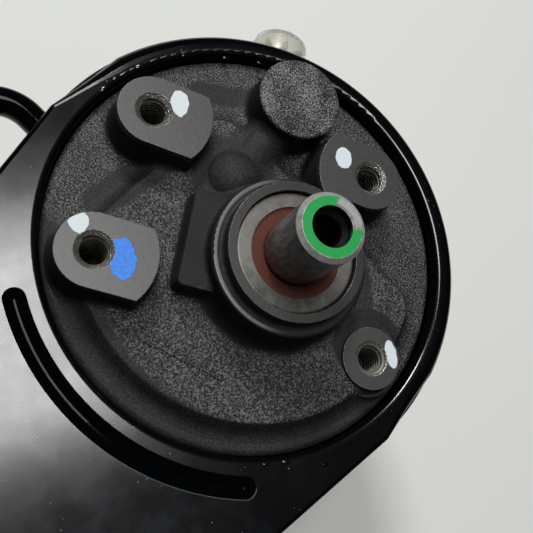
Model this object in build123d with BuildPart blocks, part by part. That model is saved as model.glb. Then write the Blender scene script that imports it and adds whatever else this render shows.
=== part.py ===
from build123d import *
import math
import os

os.makedirs("parts", exist_ok=True)

# Power steering pump: a cast housing with a vane pump inside, in a drawn steel reservoir.
# Millimetres. The shaft runs along Z through the origin, which lies in the hub's front face.
# +Z leaves the pump at the shaft's free end and +Y points to the filler end of the reservoir.

# Clearances and gaps, radial unless a name says otherwise
RUN_GAP = 0.04
PRESS_GAP = 0.02
SEAT_GAP = 0.05
LOOSE_GAP = 0.3
RING_GAP = 0.03
SIDE_GAP = 0.05
OVERRUN = 1.0

# Shaft, bush and seal
SHAFT_R = 9.525
SHAFT_TIP_Z = 22.3
SHAFT_CHAMFER = 1.2
JOURNAL_STEP = 0.325
SEAT_BACK_Z = -0.6
BUSHING_WALL = 3.3
SPLINE_STEP = 0.3
SPLINE_TOOTH_H = 0.9
SPLINE_TOOTH_W = 1.9
SPLINE_TEETH = 14
SHAFT_TAIL = 3.0
SNAP_GROOVE_DEPTH = 1.7
SNAP_RING_T = 1.2
SNAP_RING_OUT = 1.6
SNAP_RING_SLOT = 3.0
END_BORE_R = 4.25
END_BORE_DEPTH = 24.0
END_MOUTH_R = 5.6
END_MOUTH_DEPTH = 2.6
SEAL_BAND = 8.7
SEAL_BORE_DEPTH = 11.0
SEAL_RECESS = 1.5
SEAL_CASE_WALL = 1.2
SEAL_CASE_DEPTH = 8.0
SEAL_CASE_RIM = 4.6
LIP_RECESS = 0.8
LIP_WEB = 2.0
LIP_LENGTH = 5.4
LIP_EDGE = 4.6
LIP_WAIST = 0.9
LIP_DUST_EDGE = 1.6

# Pumping group, from the cam ring's bore outwards
CAM_MIN_R = 26.15
CAM_LIFT = 3.4
CAM_POINTS = 36
RING_WALL = 8.45
RING_T = 19.0
THRUST_T = 6.0
PRESSURE_T = 8.0
PLATE_GAP = 0.1
ROTOR_GAP = 0.15
VANE_COUNT = 10
VANE_T = 1.6
VANE_H = 8.0
VANE_TIP_GAP = 0.07
VANE_SLOT_GAP = 0.03
VANE_SLOT_DEPTH = 8.6
VANE_ROOT_R = 1.3
VANE_START = 9.0
DOWEL_R = 2.5
DOWEL_INSET = 4.2
DOWEL_ANGLES = [60.0, 240.0]
DOWEL_FOOT = 4.0
KIDNEY_OFFSET = 1.45
KIDNEY_W = 3.4
KIDNEY_SPAN = 38.0
KIDNEY_DEPTH = 2.5
VANE_FEED_W = 2.4
VANE_FEED_DEPTH = 1.2
PLATE_HOLE_GAP = 1.4
SNAP_POCKET_GAP = 3.0
SNAP_POCKET_DEPTH = 4.0
END_PLATE_T = 7.0
END_PLATE_ROOM = 6.0
END_PLATE_CHAMFER = 0.8
SPRING_SEAT_INSET = 13.0
SPRING_SEAT_DEPTH = 3.0
SPRING_SEAT_EDGE = 4.0
PLATE_WIRE_R = 1.5
PLATE_SPRING_TURNS = 1.5
ORING_R = 1.5
ORING_GROOVE_W = 3.8
CLIP_T = 1.8
CLIP_OUT = 1.6
CLIP_IN = 2.6
CLIP_SLOT = 14.0

# Flow control valve beside the pumping group
VALVE_BORE_R = 9.5
VALVE_WALL = 6.69
VALVE_ANGLE = -55.05
VALVE_BOSS_R = 13.5
VALVE_SPRING_ROOM = 22.0
SPOOL_LENGTH = 34.0
SPOOL_BORE_R = 5.0
SPOOL_BORE_DEPTH = 22.0
SPOOL_GROOVE_R = 7.6
SPOOL_LAND = 8.0
SPOOL_GROOVE_W = 4.0
SPOOL_PORT_ROOM = (3.0, 2.0)
ORIFICE_R = 1.6
SPRING_R = 7.4
SPRING_WIRE_R = 0.8
SPRING_TURNS = 6
RELIEF_SPRING_R = 3.4
RELIEF_WIRE_R = 0.45
RELIEF_TURNS = 5
RELIEF_BALL_R = 2.8
GUIDE_FLANGE = 1.5
GUIDE_LENGTH = 4.0
PLUG_RECESS = 0.5
PLUG_T = 3.5
UNION_BORE_R = 10.8
UNION_BORE_DEPTH = 14.0
UNION_NOSE_R = 8.0
UNION_NOSE = 4.4
UNION_PASSAGE_R = 3.0
UNION_PORT_R = 7.25
UNION_PORT_DEPTH = 12.0
UNION_HEX = 27.0
UNION_HEAD = 13.0
SEAL_RING_R = 0.9
PORT_R = 2.6
INTAKE_R = 5.0
INTAKE_ANGLE = 200.0

# Housing: its face round the rim circle, whose centre stands off the shaft, and its rear body
RIM_X = 9.2
RIM_Y = -2.3
RIM_Z = -24.0
FLANGE_LAND = 1.96
FLANGE_T = 14.0
FLOOR_T = 2.0
BUSH_SEAT = 3.0
RIM_EDGE_R = 1.6
PLATEAU_RISE = 4.5
PLATEAU_INSET = 9.0
PLATEAU_SIDE_INSETS = (26.2, 39.3)
PLATEAU_CORNER_R = 9.0
PLATEAU_DRAFT = 35.0
BOSS_DRAFT = 5.0
CAST_ROUND = 0.8
COVE_R = 3.0
HUB_WALL = 2.5
HUB_LEDGE = 3.2
HUB_STEP = 5.0
HUB_FLARE = 5.0
HUB_FLARE_H = 9.0
WING_Z = -11.0
WING_REACH = 29.5
WING_WIDTH = 29.0
WING_ANGLE = 31.7
PAD_Z = -10.0
PAD_POLARS = [(14.86, -2.26, 208.0), (13.0, 53.13, 210.0), (22.01, 253.99, 28.0)]
PAD_LOBE_R = 10.5
PAD_SPOT_R = 17.6
SMALL_BOSS_Z = -17.5
SMALL_BOSS_POLAR = (13.28, 178.27)
SMALL_BOSS_R = 9.6
SMALL_LEDGE = 2.0
SMALL_LEDGE_H = 3.0
BLIND_BOSS_Z = -11.0
DOME = (28.0, -12.0)
DOME_R = 10.5
GALLERY_R = 7.5
THREAD_HOLE_R = 4.25
THREAD_HOLE_DEPTH = 21.0
SMALL_HOLE_DEPTH = 13.0
THREAD_CHAMFER = 1.25
BODY_WALL = 7.4
BODY_TAIL = 6.0
WEB_W = 22.0
STUD_MIDDLE_X = 0.9
STUD_INSETS = (8.4, 15.5)
STUD_BOSS_R = 7.4
STUD_BOSS_REACH = 5.0
STUD_R = 4.9
STUD_DEPTH = 14.0
STUD_TAIL = 18.0
STUD_POINT = 1.0
STUD_HEX = 17.0
STUD_COLLAR = 6.0
NECK_GROOVE_INSET = 7.0
NECK_GROOVE_DEPTH = 2.5

# Reservoir
SHEET = 1.5
CAN_BAND = 9.0
CAN_END_R = 56.0
CAN_SPAN = 76.0
CAN_RISE = 4.0
CAN_REAR_ROOM = 12.0
SHOULDER_FLAT = 1.6
SHOULDER_STEPS = 7
WEDGE_ANGLE = -10.0
BACK_ROUND = 5.0
NECK_FOLD = 2.0
NECK_DEPTH = 16.0
SEAM_LAP = 8.0
BEAD_INSET = 8.4
BEAD_W = 6.2
BEAD_H = 2.0
BEAD_DRAFT = 54.0
BEAD_FROM = 60.0
BEAD_TO = 129.0

# Filler neck, cap and dipstick
NECK_R = 19.0
NECK_WALL = 1.5
NECK_FOOT = 8.0
NECK_RISE = 14.3
NECK_LIP = 3.0
NECK_LIP_T = 2.0
NECK_LIP_ROUND = 0.5
NOTCH_W = 9.0
CAP_RIM = 4.0
CAP_WALL = 2.2
CAP_DEPTH = 9.5
CAP_TOP_T = 4.0
CAP_ROUND = 1.5
CAP_GRIP_W = 7.0
CAP_GRIP_H = 7.0
CAP_GRIP_INSET = 3.0
CAP_GRIP_DRAFT = 4.0
CAP_SOCKET_R = 4.0
CAP_SOCKET = 6.0
SCALLOPS = 12
SCALLOP_R = 2.4
SCALLOP_SET = 1.6
LUG_T = 1.6
LUG_SIDE_GAP = 1.0
GASKET_T = 2.0
DIPSTICK_R = 1.6
DIPSTICK_CLEARANCE = 6.5
DIPSTICK_BLADE = (7.0, 1.6, 26.0)
MAGNET_R = 12.0
MAGNET_T = 4.0
MAGNET_INSET = 11.7

# Return tube and the second, capped return nipple
TUBE_R = 4.75
TUBE_WALL = 1.0
TUBE_Y = 9.5
TUBE_RISE = 12.0
TUBE_RUN = 13.0
TUBE_TAIL = 24.0
TUBE_BEND_R = 15.0
TUBE_BEND = 48.0
TUBE_BEAD = 0.85
TUBE_BEAD_W = 2.4
TUBE_BEAD_SET = 7.0
TUBE_BEAD_ROUND = 0.8
NIPPLE_ANGLE = -60.0
NIPPLE_RISE = 18.0
NIPPLE_R = 6.5
NIPPLE_WALL = 2.0
NIPPLE_LENGTH = 10.0
PLUG_CAP_R = 9.6
PLUG_CAP_WALL = 1.2
PLUG_CAP_ROUND = 2.5
PLUG_CAP_LENGTH = 12.0
PLUG_CAP_RIBS = 8
PLUG_CAP_RIB_T = 1.0
PLUG_CAP_GAP = 1.0


def polar(radius, angle):
    """A point at a radius and an angle in degrees."""
    return (radius * math.cos(math.radians(angle)), radius * math.sin(math.radians(angle)))


def on_rim(inset, angle):
    """A point at an inset from the flange's edge, at an angle about the rim circle's centre."""
    x, y = polar(FLANGE_R - inset, angle)
    return (round(RIM_X + x, 1), round(RIM_Y + y, 1))


# Radii and places that follow from the sizes above
JOURNAL_R = SHAFT_R - JOURNAL_STEP
BUSHING_R = JOURNAL_R + BUSHING_WALL
SPLINE_R = JOURNAL_R - SPLINE_STEP
SPLINE_ROOT_R = SPLINE_R - SPLINE_TOOTH_H
SNAP_GROOVE_R = SPLINE_R - SNAP_GROOVE_DEPTH
SEAL_BORE_R = JOURNAL_R + SEAL_BAND
SEAL_CASE_HOLE_R = SEAL_BORE_R - SEAL_CASE_RIM
HUB_FRONT_R = SEAL_BORE_R + HUB_WALL
HUB_SHOULDER_R = HUB_FRONT_R + HUB_LEDGE
RING_R = CAM_MIN_R + CAM_LIFT + RING_WALL
CAVITY_R = RING_R + PLATE_GAP
BODY_R = CAVITY_R + BODY_WALL
ROTOR_R = CAM_MIN_R - ROTOR_GAP
VANE_SLOT_FLOOR_R = ROTOR_R - VANE_SLOT_DEPTH
DOWEL_CIRCLE_R = RING_R - DOWEL_INSET
KIDNEY_R = CAM_MIN_R + KIDNEY_OFFSET
PLATE_HOLE_R = JOURNAL_R + PLATE_HOLE_GAP
SNAP_POCKET_R = SPLINE_R + SNAP_RING_OUT + SNAP_POCKET_GAP
SPRING_SEAT_R = RING_R - SPRING_SEAT_INSET
PLATE_SPRING_R = SPRING_SEAT_R - SPRING_SEAT_EDGE
PLATE_RING_R = RING_R + RING_GAP + ORING_R
PLATE_GROOVE_R = RING_R + 2 * (ORING_R + RING_GAP)
VALVE_REACH = CAVITY_R + VALVE_WALL + VALVE_BORE_R
VALVE = tuple(round(value, 1) for value in polar(VALVE_REACH, VALVE_ANGLE))
FLANGE_R = round(math.dist(VALVE, (RIM_X, RIM_Y)) + VALVE_BOSS_R + FLANGE_LAND, 1)
THREAD_CHAMFER_R = THREAD_HOLE_R + THREAD_CHAMFER
PLATEAU_R = FLANGE_R - PLATEAU_INSET
PLATEAU_SIDE_X = RIM_X + FLANGE_R - PLATEAU_SIDE_INSETS[0]
PLATEAU_SIDE_Y = RIM_Y - FLANGE_R + PLATEAU_SIDE_INSETS[1]
PAD_PLACES = [(*on_rim(inset, angle), spin) for inset, angle, spin in PAD_POLARS]
SMALL_BOSS = on_rim(*SMALL_BOSS_POLAR)
STUD_Y = BODY_R - STUD_INSETS[1]
STUD_PLACES = [(STUD_MIDDLE_X + side * (BODY_R - STUD_INSETS[0]), STUD_Y) for side in (-1, 1)]
CAN_R = FLANGE_R + CAN_BAND
SHOULDER_ROUND = 2 * CAN_BAND / 3
BEAD_R = FLANGE_R + BEAD_INSET
NECK_IN_R = FLANGE_R + LOOSE_GAP
NECK_GROOVE_R = FLANGE_R - NECK_GROOVE_DEPTH
NECK_LIP_R = NECK_R + NECK_LIP
CAP_R = NECK_LIP_R + CAP_RIM
CAN_TILT = math.degrees(math.asin((CAN_R - CAN_END_R) / CAN_SPAN))
CAN_END_Y = RIM_Y + CAN_SPAN + CAN_END_R
NECK_FOOT_Y = CAN_END_Y - NECK_FOOT
NECK_TOP_Y = CAN_END_Y + NECK_RISE
GASKET_Y = NECK_TOP_Y + SEAT_GAP
CAP_Y = GASKET_Y + GASKET_T + SEAT_GAP
DIPSTICK_END_Y = BODY_R + DIPSTICK_CLEARANCE + DIPSTICK_BLADE[2]
MAGNET_PLACE = (RIM_X, RIM_Y + CAN_SPAN - MAGNET_INSET)
TUBE_ROOT_X = RIM_X + math.sqrt(CAN_R ** 2 - (TUBE_Y - RIM_Y) ** 2) - 2 * SHEET
VANE_ANGLES = [VANE_START + 360 / VANE_COUNT * k for k in range(VANE_COUNT)]
RIM_AXIS = Axis((RIM_X, RIM_Y, 0), (0, 0, 1))

# Heights along the shaft axis, from the face to the rear
PLATEAU_Z = RIM_Z + PLATEAU_RISE
SMALL_LEDGE_Z = RIM_Z + SMALL_LEDGE_H
CAN_FACE_Z = RIM_Z + CAN_RISE
NECK_BACK_Z = CAN_FACE_Z - NECK_DEPTH
NECK_GROOVE_Z = RIM_Z - NECK_GROOVE_INSET
FLANGE_BACK_Z = RIM_Z - FLANGE_T
CAVITY_FLOOR_Z = FLANGE_BACK_Z - FLOOR_T
BUSHING_BACK_Z = CAVITY_FLOOR_Z + BUSH_SEAT
RING_FRONT_Z = CAVITY_FLOOR_Z - THRUST_T
RING_BACK_Z = RING_FRONT_Z - RING_T
SPLINE_FRONT_Z = RING_FRONT_Z + OVERRUN
SHAFT_BACK_Z = RING_BACK_Z - SHAFT_TAIL
STUD_BOSS_FRONT_Z = RING_BACK_Z + STUD_BOSS_REACH
PRESSURE_BACK_Z = RING_BACK_Z - PRESSURE_T
END_PLATE_Z = PRESSURE_BACK_Z - END_PLATE_ROOM
END_PLATE_BACK_Z = END_PLATE_Z - END_PLATE_T
CLIP_Z = END_PLATE_BACK_Z - SEAT_GAP
HOUSING_BACK_Z = END_PLATE_BACK_Z - BODY_TAIL
CAN_BACK_Z = HOUSING_BACK_Z - CAN_REAR_ROOM
CAN_MID_Z = (CAN_FACE_Z + CAN_BACK_Z) / 2
TUBE_Z = CAN_MID_Z + TUBE_RISE
NIPPLE_Z = CAN_MID_Z + NIPPLE_RISE
REAR_BOSS_Z = CAN_BACK_Z + SHEET + 2 * SEAT_GAP
HEAD_Z = CAN_BACK_Z - SEAT_GAP
UNION_FRONT_Z = REAR_BOSS_Z + UNION_BORE_DEPTH
SPOOL_Z = UNION_FRONT_Z + UNION_NOSE + SPOOL_LENGTH
VALVE_BORE_FRONT_Z = SPOOL_Z + VALVE_SPRING_ROOM
PLATE_RING_ZS = [RING_BACK_Z - PRESSURE_T / 2, END_PLATE_Z - END_PLATE_T / 2]
PORT_Z = (PRESSURE_BACK_Z + END_PLATE_Z) / 2
INTAKE_Z = RING_FRONT_Z - RING_T / 2
SPOOL_GROOVES = [
    (SPOOL_Z - SPOOL_LAND, SPOOL_Z - SPOOL_LAND - SPOOL_GROOVE_W),
    (PORT_Z + SPOOL_PORT_ROOM[0], PORT_Z - SPOOL_PORT_ROOM[1]),
]


def upright(x=0.0, y=0.0):
    """A drawing plane through a Z axis at (x, y): across is the radius and up is the height."""
    return Plane(origin=(x, y, 0), x_dir=(1, 0, 0), z_dir=(0, -1, 0))


def save(block, label):
    """Names a finished piece and writes its STEP file."""
    block.part.label = label
    export_step(block.part, "parts/" + label + ".step")


def cylinder_between(radius, z_high, z_low, place=(0, 0), mode=Mode.ADD):
    """An upright cylinder between two heights, for the block that is open."""
    with BuildSketch(Plane.XY.offset(z_low)) as disc:
        with Locations(place):
            Circle(radius)
    extrude(disc.sketch, amount=z_high - z_low, mode=mode)


def ring_between(r_out, r_in, z_high, z_low, place=(0, 0), mode=Mode.ADD):
    """An upright ring between two heights, for the block that is open."""
    with BuildSketch(Plane.XY.offset(z_low)) as annulus:
        with Locations(place):
            Circle(r_out)
            Circle(r_in, mode=Mode.SUBTRACT)
    extrude(annulus.sketch, amount=z_high - z_low, mode=mode)


def neck_plane(y):
    """A drawing plane across the filler neck: its own x is the pump's X."""
    return Plane(origin=(RIM_X, y, CAN_MID_Z), x_dir=(1, 0, 0), z_dir=(0, 1, 0))


def nipple_plane(reach):
    """A drawing plane across the second return nipple, at a distance from the rim's axis."""
    out = Vector(*polar(1, NIPPLE_ANGLE), 0)
    return Plane(origin=Vector(RIM_X, RIM_Y, NIPPLE_Z) + out * reach, x_dir=(0, 0, 1), z_dir=out)


def along_y(radius, y_low, y_high, mode=Mode.ADD):
    """A cylinder on the filler neck's axis, for the block that is open."""
    with BuildSketch(neck_plane(y_low)) as disc:
        Circle(radius)
    extrude(disc.sketch, amount=y_high - y_low, mode=mode)


def reservoir_holes():
    """The holes that the neck, the tube and the nipple pass through, cut from the open shell."""
    along_y(NECK_R + SEAT_GAP, NECK_FOOT_Y - 2 * OVERRUN, CAN_END_Y + OVERRUN, Mode.SUBTRACT)
    with BuildSketch(Plane(origin=(TUBE_ROOT_X - OVERRUN, TUBE_Y, TUBE_Z), z_dir=(1, 0, 0))) as tube_hole:
        Circle(TUBE_R + SEAT_GAP)
    extrude(tube_hole.sketch, amount=TUBE_RUN, mode=Mode.SUBTRACT)
    with BuildSketch(nipple_plane(CAN_R - 3 * SHEET)) as nipple_hole:
        Circle(NIPPLE_R + SEAT_GAP)
    extrude(nipple_hole.sketch, amount=4 * SHEET, mode=Mode.SUBTRACT)


def o_ring(label, ring_radius, z, x=0.0, y=0.0, section=ORING_R):
    """A rubber ring of round section about a Z axis."""
    with BuildPart() as ring:
        with BuildSketch(upright(x, y)):
            with Locations((ring_radius, z)):
                Circle(section)
        revolve(axis=Axis((x, y, 0), (0, 0, 1)))
    save(ring, label)


def coil_spring(label, radius, wire, z_low, z_high, turns, x=0.0, y=0.0):
    """A compression spring between two heights."""
    height = z_high - z_low - 2 * wire
    with BuildPart() as spring:
        with BuildLine(Plane.XY.offset(z_low + wire)) as path:
            Helix(pitch=height / turns, height=height, radius=radius, center=(x, y, 0))
        with BuildSketch(Plane(origin=path.line @ 0, z_dir=path.line % 0)):
            Circle(wire)
        sweep(path=path.line, is_frenet=True)
    save(spring, label)


# The housing's face
def pad_outline(x, y, angle):
    """A machined pad: a strip as wide as its lobe, ended by the spot-facing cutter's circle."""
    with BuildSketch() as outline:
        Circle(PAD_LOBE_R)
        with Locations((PAD_SPOT_R / 2, 0)):
            Rectangle(PAD_SPOT_R, 2 * PAD_LOBE_R)
        Circle(PAD_SPOT_R, mode=Mode.INTERSECT)
    return outline.sketch.rotate(Axis.Z, angle).moved(Location((x, y, 0)))


pad_outlines = [pad_outline(*place) for place in PAD_PLACES]


def thread_holes(places, mouth_z, depth):
    """Blind tapped holes with a chamfered mouth, cut into the open block."""
    for x, y in places:
        with BuildSketch(upright(x, y)) as bore:
            with BuildLine():
                Polyline(
                    (0, mouth_z), (THREAD_CHAMFER_R, mouth_z), (THREAD_HOLE_R, mouth_z - THREAD_CHAMFER),
                    (THREAD_HOLE_R, mouth_z - depth), (0, mouth_z - depth - THREAD_HOLE_R / 2), close=True,
                )
            make_face()
        revolve(bore.sketch, axis=Axis((x, y, 0), (0, 0, 1)), mode=Mode.SUBTRACT)


with BuildPart() as housing:
    # Flange that the reservoir's neck fits round
    cylinder_between(FLANGE_R, RIM_Z, FLANGE_BACK_Z, (RIM_X, RIM_Y))
    fillet(housing.edges().sort_by(Axis.Z)[-1], RIM_EDGE_R)
    # Raised plateau, cut straight on two sides
    with BuildSketch(Plane.XY.offset(PLATEAU_Z)) as plateau:
        with Locations((RIM_X, RIM_Y)):
            Circle(PLATEAU_R)
        with Locations((PLATEAU_SIDE_X, PLATEAU_SIDE_Y)):
            Rectangle(4 * PLATEAU_R, 4 * PLATEAU_R, align=(Align.MAX, Align.MIN), mode=Mode.INTERSECT)
        fillet(plateau.vertices(), PLATEAU_CORNER_R)
    extrude(amount=RIM_Z - PLATEAU_Z, taper=-PLATEAU_DRAFT)
    foot = housing.edges().filter_by_position(Axis.Z, RIM_Z, RIM_Z).sort_by(SortBy.LENGTH)[:-1]
    fillet(foot, COVE_R)
    fillet(housing.edges().group_by(Axis.Z)[-1], CAST_ROUND)
    # Hub with its flared foot and the machined step at the front
    with BuildSketch(upright()) as hub:
        with BuildLine():
            Polyline(
                (0, RIM_Z), (HUB_SHOULDER_R + HUB_FLARE, RIM_Z), (HUB_SHOULDER_R, RIM_Z + HUB_FLARE_H),
                (HUB_SHOULDER_R, -HUB_STEP), (HUB_FRONT_R, -HUB_STEP), (HUB_FRONT_R, 0), (0, 0), close=True,
            )
        make_face()
        fillet(hub.vertices().group_by(Axis.X)[2], CAST_ROUND)
    revolve(axis=Axis.Z)
    # Square-sided block beside the hub
    with BuildSketch(Plane.XY.offset(WING_Z).rotated((0, 0, WING_ANGLE))) as wing:
        Rectangle(WING_REACH, WING_WIDTH, align=(Align.MIN, Align.CENTER))
        fillet(wing.vertices().group_by(Axis.X)[-1], 2 * CAST_ROUND)
    extrude(amount=RIM_Z - WING_Z, taper=-BOSS_DRAFT)
    # Dome and oil gallery that run to the valve bore
    with Locations((DOME[0], DOME[1], RIM_Z)):
        Sphere(DOME_R)
    to_valve = Vector(VALVE[0] - DOME[0], VALVE[1] - DOME[1], 0)
    with BuildSketch(Plane(origin=(DOME[0], DOME[1], RIM_Z), z_dir=to_valve.normalized())):
        Circle(GALLERY_R)
    extrude(amount=to_valve.length)
    # Blind front end of the valve bore
    with BuildSketch(Plane.XY.offset(BLIND_BOSS_Z)):
        with Locations(VALVE):
            Circle(VALVE_BOSS_R)
    extrude(amount=RIM_Z - BLIND_BOSS_Z, taper=-BOSS_DRAFT / 3)
    level = housing.edges().filter_by_position(Axis.Z, BLIND_BOSS_Z, BLIND_BOSS_Z)
    fillet(level.sort_by_distance((*VALVE, BLIND_BOSS_Z))[0], CAST_ROUND)
    # Small boss on its ledge
    cylinder_between(SMALL_BOSS_R + SMALL_LEDGE, SMALL_LEDGE_Z, RIM_Z, SMALL_BOSS)
    with BuildSketch(Plane.XY.offset(SMALL_BOSS_Z)):
        with Locations(SMALL_BOSS):
            Circle(SMALL_BOSS_R)
    extrude(amount=RIM_Z - SMALL_BOSS_Z, taper=-BOSS_DRAFT)
    # Three machined pads on drafted columns
    for outline in pad_outlines:
        extrude(outline.moved(Location((0, 0, PAD_Z))), amount=RIM_Z - PAD_Z, taper=-BOSS_DRAFT)
    # Rear body, valve boss, web and stud bosses
    cylinder_between(BODY_R, FLANGE_BACK_Z, HOUSING_BACK_Z)
    cylinder_between(VALVE_BOSS_R, FLANGE_BACK_Z, REAR_BOSS_Z, VALVE)
    with BuildSketch(Plane.XY.offset(FLANGE_BACK_Z).rotated((0, 0, VALVE_ANGLE))):
        Rectangle(VALVE_REACH, WEB_W, align=(Align.MIN, Align.CENTER))
    extrude(amount=HOUSING_BACK_Z - FLANGE_BACK_Z)
    for stud in STUD_PLACES:
        cylinder_between(STUD_BOSS_R, STUD_BOSS_FRONT_Z, REAR_BOSS_Z, stud)
    # Bores on the shaft axis
    cylinder_between(SEAL_BORE_R, 0, -SEAL_BORE_DEPTH, mode=Mode.SUBTRACT)
    cylinder_between(BUSHING_R + PRESS_GAP, -SEAL_BORE_DEPTH, BUSHING_BACK_Z, mode=Mode.SUBTRACT)
    cylinder_between(PLATE_HOLE_R, BUSHING_BACK_Z, CAVITY_FLOOR_Z, mode=Mode.SUBTRACT)
    cylinder_between(CAVITY_R, CAVITY_FLOOR_Z, REAR_BOSS_Z, mode=Mode.SUBTRACT)
    for z in PLATE_RING_ZS:
        ring_between(
            PLATE_GROOVE_R, CAVITY_R - OVERRUN, z + ORING_GROOVE_W / 2, z - ORING_GROOVE_W / 2,
            mode=Mode.SUBTRACT,
        )
    ring_between(
        CAVITY_R + CLIP_OUT, CAVITY_R - OVERRUN, CLIP_Z + SEAT_GAP, CLIP_Z - CLIP_T - SEAT_GAP,
        mode=Mode.SUBTRACT,
    )
    # Groove for the ring that seals the reservoir's neck
    ring_between(
        FLANGE_R + OVERRUN, NECK_GROOVE_R, NECK_GROOVE_Z, NECK_GROOVE_Z - ORING_GROOVE_W,
        (RIM_X, RIM_Y), Mode.SUBTRACT,
    )
    # Valve bore, the union's counterbore and the two passages
    cylinder_between(VALVE_BORE_R, VALVE_BORE_FRONT_Z, REAR_BOSS_Z, VALVE, Mode.SUBTRACT)
    cylinder_between(UNION_BORE_R, UNION_FRONT_Z, REAR_BOSS_Z, VALVE, Mode.SUBTRACT)
    with BuildSketch(Plane(origin=(0, 0, PORT_Z), z_dir=(VALVE[0], VALVE[1], 0))):
        Circle(PORT_R)
    extrude(amount=VALVE_REACH, mode=Mode.SUBTRACT)
    with BuildSketch(Plane(origin=(0, 0, INTAKE_Z), z_dir=(*polar(1, INTAKE_ANGLE), 0))):
        Circle(INTAKE_R)
    extrude(amount=BODY_R + OVERRUN, mode=Mode.SUBTRACT)
    # Tapped holes, stud holes and dowel holes
    thread_holes([place[:2] for place in PAD_PLACES], PAD_Z, THREAD_HOLE_DEPTH)
    thread_holes([SMALL_BOSS], SMALL_BOSS_Z, SMALL_HOLE_DEPTH)
    for stud in STUD_PLACES:
        cylinder_between(
            STUD_R + SEAT_GAP, REAR_BOSS_Z + STUD_DEPTH + OVERRUN, REAR_BOSS_Z, stud, Mode.SUBTRACT
        )
    for angle in DOWEL_ANGLES:
        cylinder_between(
            DOWEL_R + RUN_GAP, CAVITY_FLOOR_Z + DOWEL_FOOT, CAVITY_FLOOR_Z,
            polar(DOWEL_CIRCLE_R, angle), Mode.SUBTRACT,
        )
save(housing, "pump_housing")

# Bearing bush, seal and shaft
with BuildPart() as bushing:
    ring_between(BUSHING_R, JOURNAL_R + RUN_GAP, -SEAL_BORE_DEPTH, BUSHING_BACK_Z)
save(bushing, "shaft_bushing")

with BuildPart() as seal_case:
    case_r = SEAL_BORE_R - PRESS_GAP
    case_in = case_r - SEAL_CASE_WALL
    case_back = -SEAL_RECESS - SEAL_CASE_DEPTH
    web_back = -SEAL_RECESS - SEAL_CASE_WALL
    with BuildSketch(upright()) as case_profile:
        with BuildLine():
            Polyline(
                (SEAL_CASE_HOLE_R, -SEAL_RECESS), (case_r, -SEAL_RECESS), (case_r, case_back),
                (case_in, case_back), (case_in, web_back), (SEAL_CASE_HOLE_R, web_back), close=True,
            )
        make_face()
        corner = case_profile.vertices().sort_by_distance((case_r, -SEAL_RECESS))[0]
        fillet(corner, 0.8 * SEAL_CASE_WALL)
    revolve(axis=Axis.Z)
save(seal_case, "seal_case")

with BuildPart() as lip:
    lip_top = -SEAL_RECESS - SEAL_CASE_WALL
    lip_out = SEAL_BORE_R - PRESS_GAP - SEAL_CASE_WALL - PRESS_GAP
    lip_in = JOURNAL_R + RUN_GAP
    lip_face = SEAL_CASE_HOLE_R - PRESS_GAP
    with BuildSketch(upright()) as lip_profile:
        with BuildLine():
            Polyline(
                (lip_out, lip_top - PRESS_GAP), (lip_out, lip_top - LIP_WEB),
                (lip_in + 1.1 * LIP_WEB, lip_top - 1.3 * LIP_WEB),
                (lip_in + LIP_WEB / 2, lip_top - LIP_LENGTH), (lip_in, lip_top - LIP_EDGE),
                (lip_in + LIP_WAIST, lip_top - LIP_DUST_EDGE),
                (lip_in, lip_top + LIP_WEB / 10), (lip_in + LIP_WEB / 4, -SEAL_RECESS - LIP_RECESS),
                (lip_face, -SEAL_RECESS - LIP_RECESS), (lip_face, lip_top - PRESS_GAP), close=True,
            )
        make_face()
    revolve(axis=Axis.Z)
save(lip, "seal_lip")


def spline_outline(gap):
    """Straight-sided spline, wider by a gap all round."""
    with BuildSketch() as outline:
        with PolarLocations(0, SPLINE_TEETH):
            Rectangle(SPLINE_R + OVERRUN, SPLINE_TOOTH_W + 2 * gap, align=(Align.MIN, Align.CENTER))
        Circle(SPLINE_R + gap, mode=Mode.INTERSECT)
        Circle(SPLINE_ROOT_R + gap)
    return outline.sketch


with BuildPart() as shaft:
    cylinder_between(SHAFT_R, SHAFT_TIP_Z, SEAT_BACK_Z)
    cylinder_between(JOURNAL_R, SEAT_BACK_Z, SPLINE_FRONT_Z)
    chamfer(shaft.edges().sort_by(Axis.Z)[-1], SHAFT_CHAMFER)
    spline = spline_outline(0).moved(Location((0, 0, SPLINE_FRONT_Z)))
    extrude(spline, amount=SHAFT_BACK_Z - SPLINE_FRONT_Z)
    chamfer(shaft.faces().sort_by(Axis.Z)[0].edges().filter_by(GeomType.CIRCLE), SHAFT_CHAMFER / 3)
    ring_between(
        SPLINE_R + OVERRUN, SNAP_GROOVE_R, RING_BACK_Z, RING_BACK_Z - SNAP_RING_T - 2 * SEAT_GAP,
        mode=Mode.SUBTRACT,
    )
    with BuildSketch(upright()):
        with BuildLine():
            mouth_floor = SHAFT_TIP_Z - END_MOUTH_DEPTH
            Polyline(
                (0, SHAFT_TIP_Z), (END_MOUTH_R, SHAFT_TIP_Z), (END_MOUTH_R, mouth_floor),
                (END_BORE_R, mouth_floor - (END_MOUTH_R - END_BORE_R)),
                (END_BORE_R, SHAFT_TIP_Z - END_BORE_DEPTH),
                (0, SHAFT_TIP_Z - END_BORE_DEPTH - END_BORE_R / 2), close=True,
            )
        make_face()
    revolve(axis=Axis.Z, mode=Mode.SUBTRACT)
save(shaft, "drive_shaft")

with BuildPart() as snap_ring:
    with BuildSketch(Plane.XY.offset(RING_BACK_Z - SEAT_GAP)):
        Circle(SPLINE_R + SNAP_RING_OUT)
        Circle(SNAP_GROOVE_R + SEAT_GAP, mode=Mode.SUBTRACT)
        Rectangle(2 * SPLINE_R, SNAP_RING_SLOT, align=(Align.MIN, Align.CENTER), mode=Mode.SUBTRACT)
    extrude(amount=-SNAP_RING_T)
save(snap_ring, "rotor_snap_ring")

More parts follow.
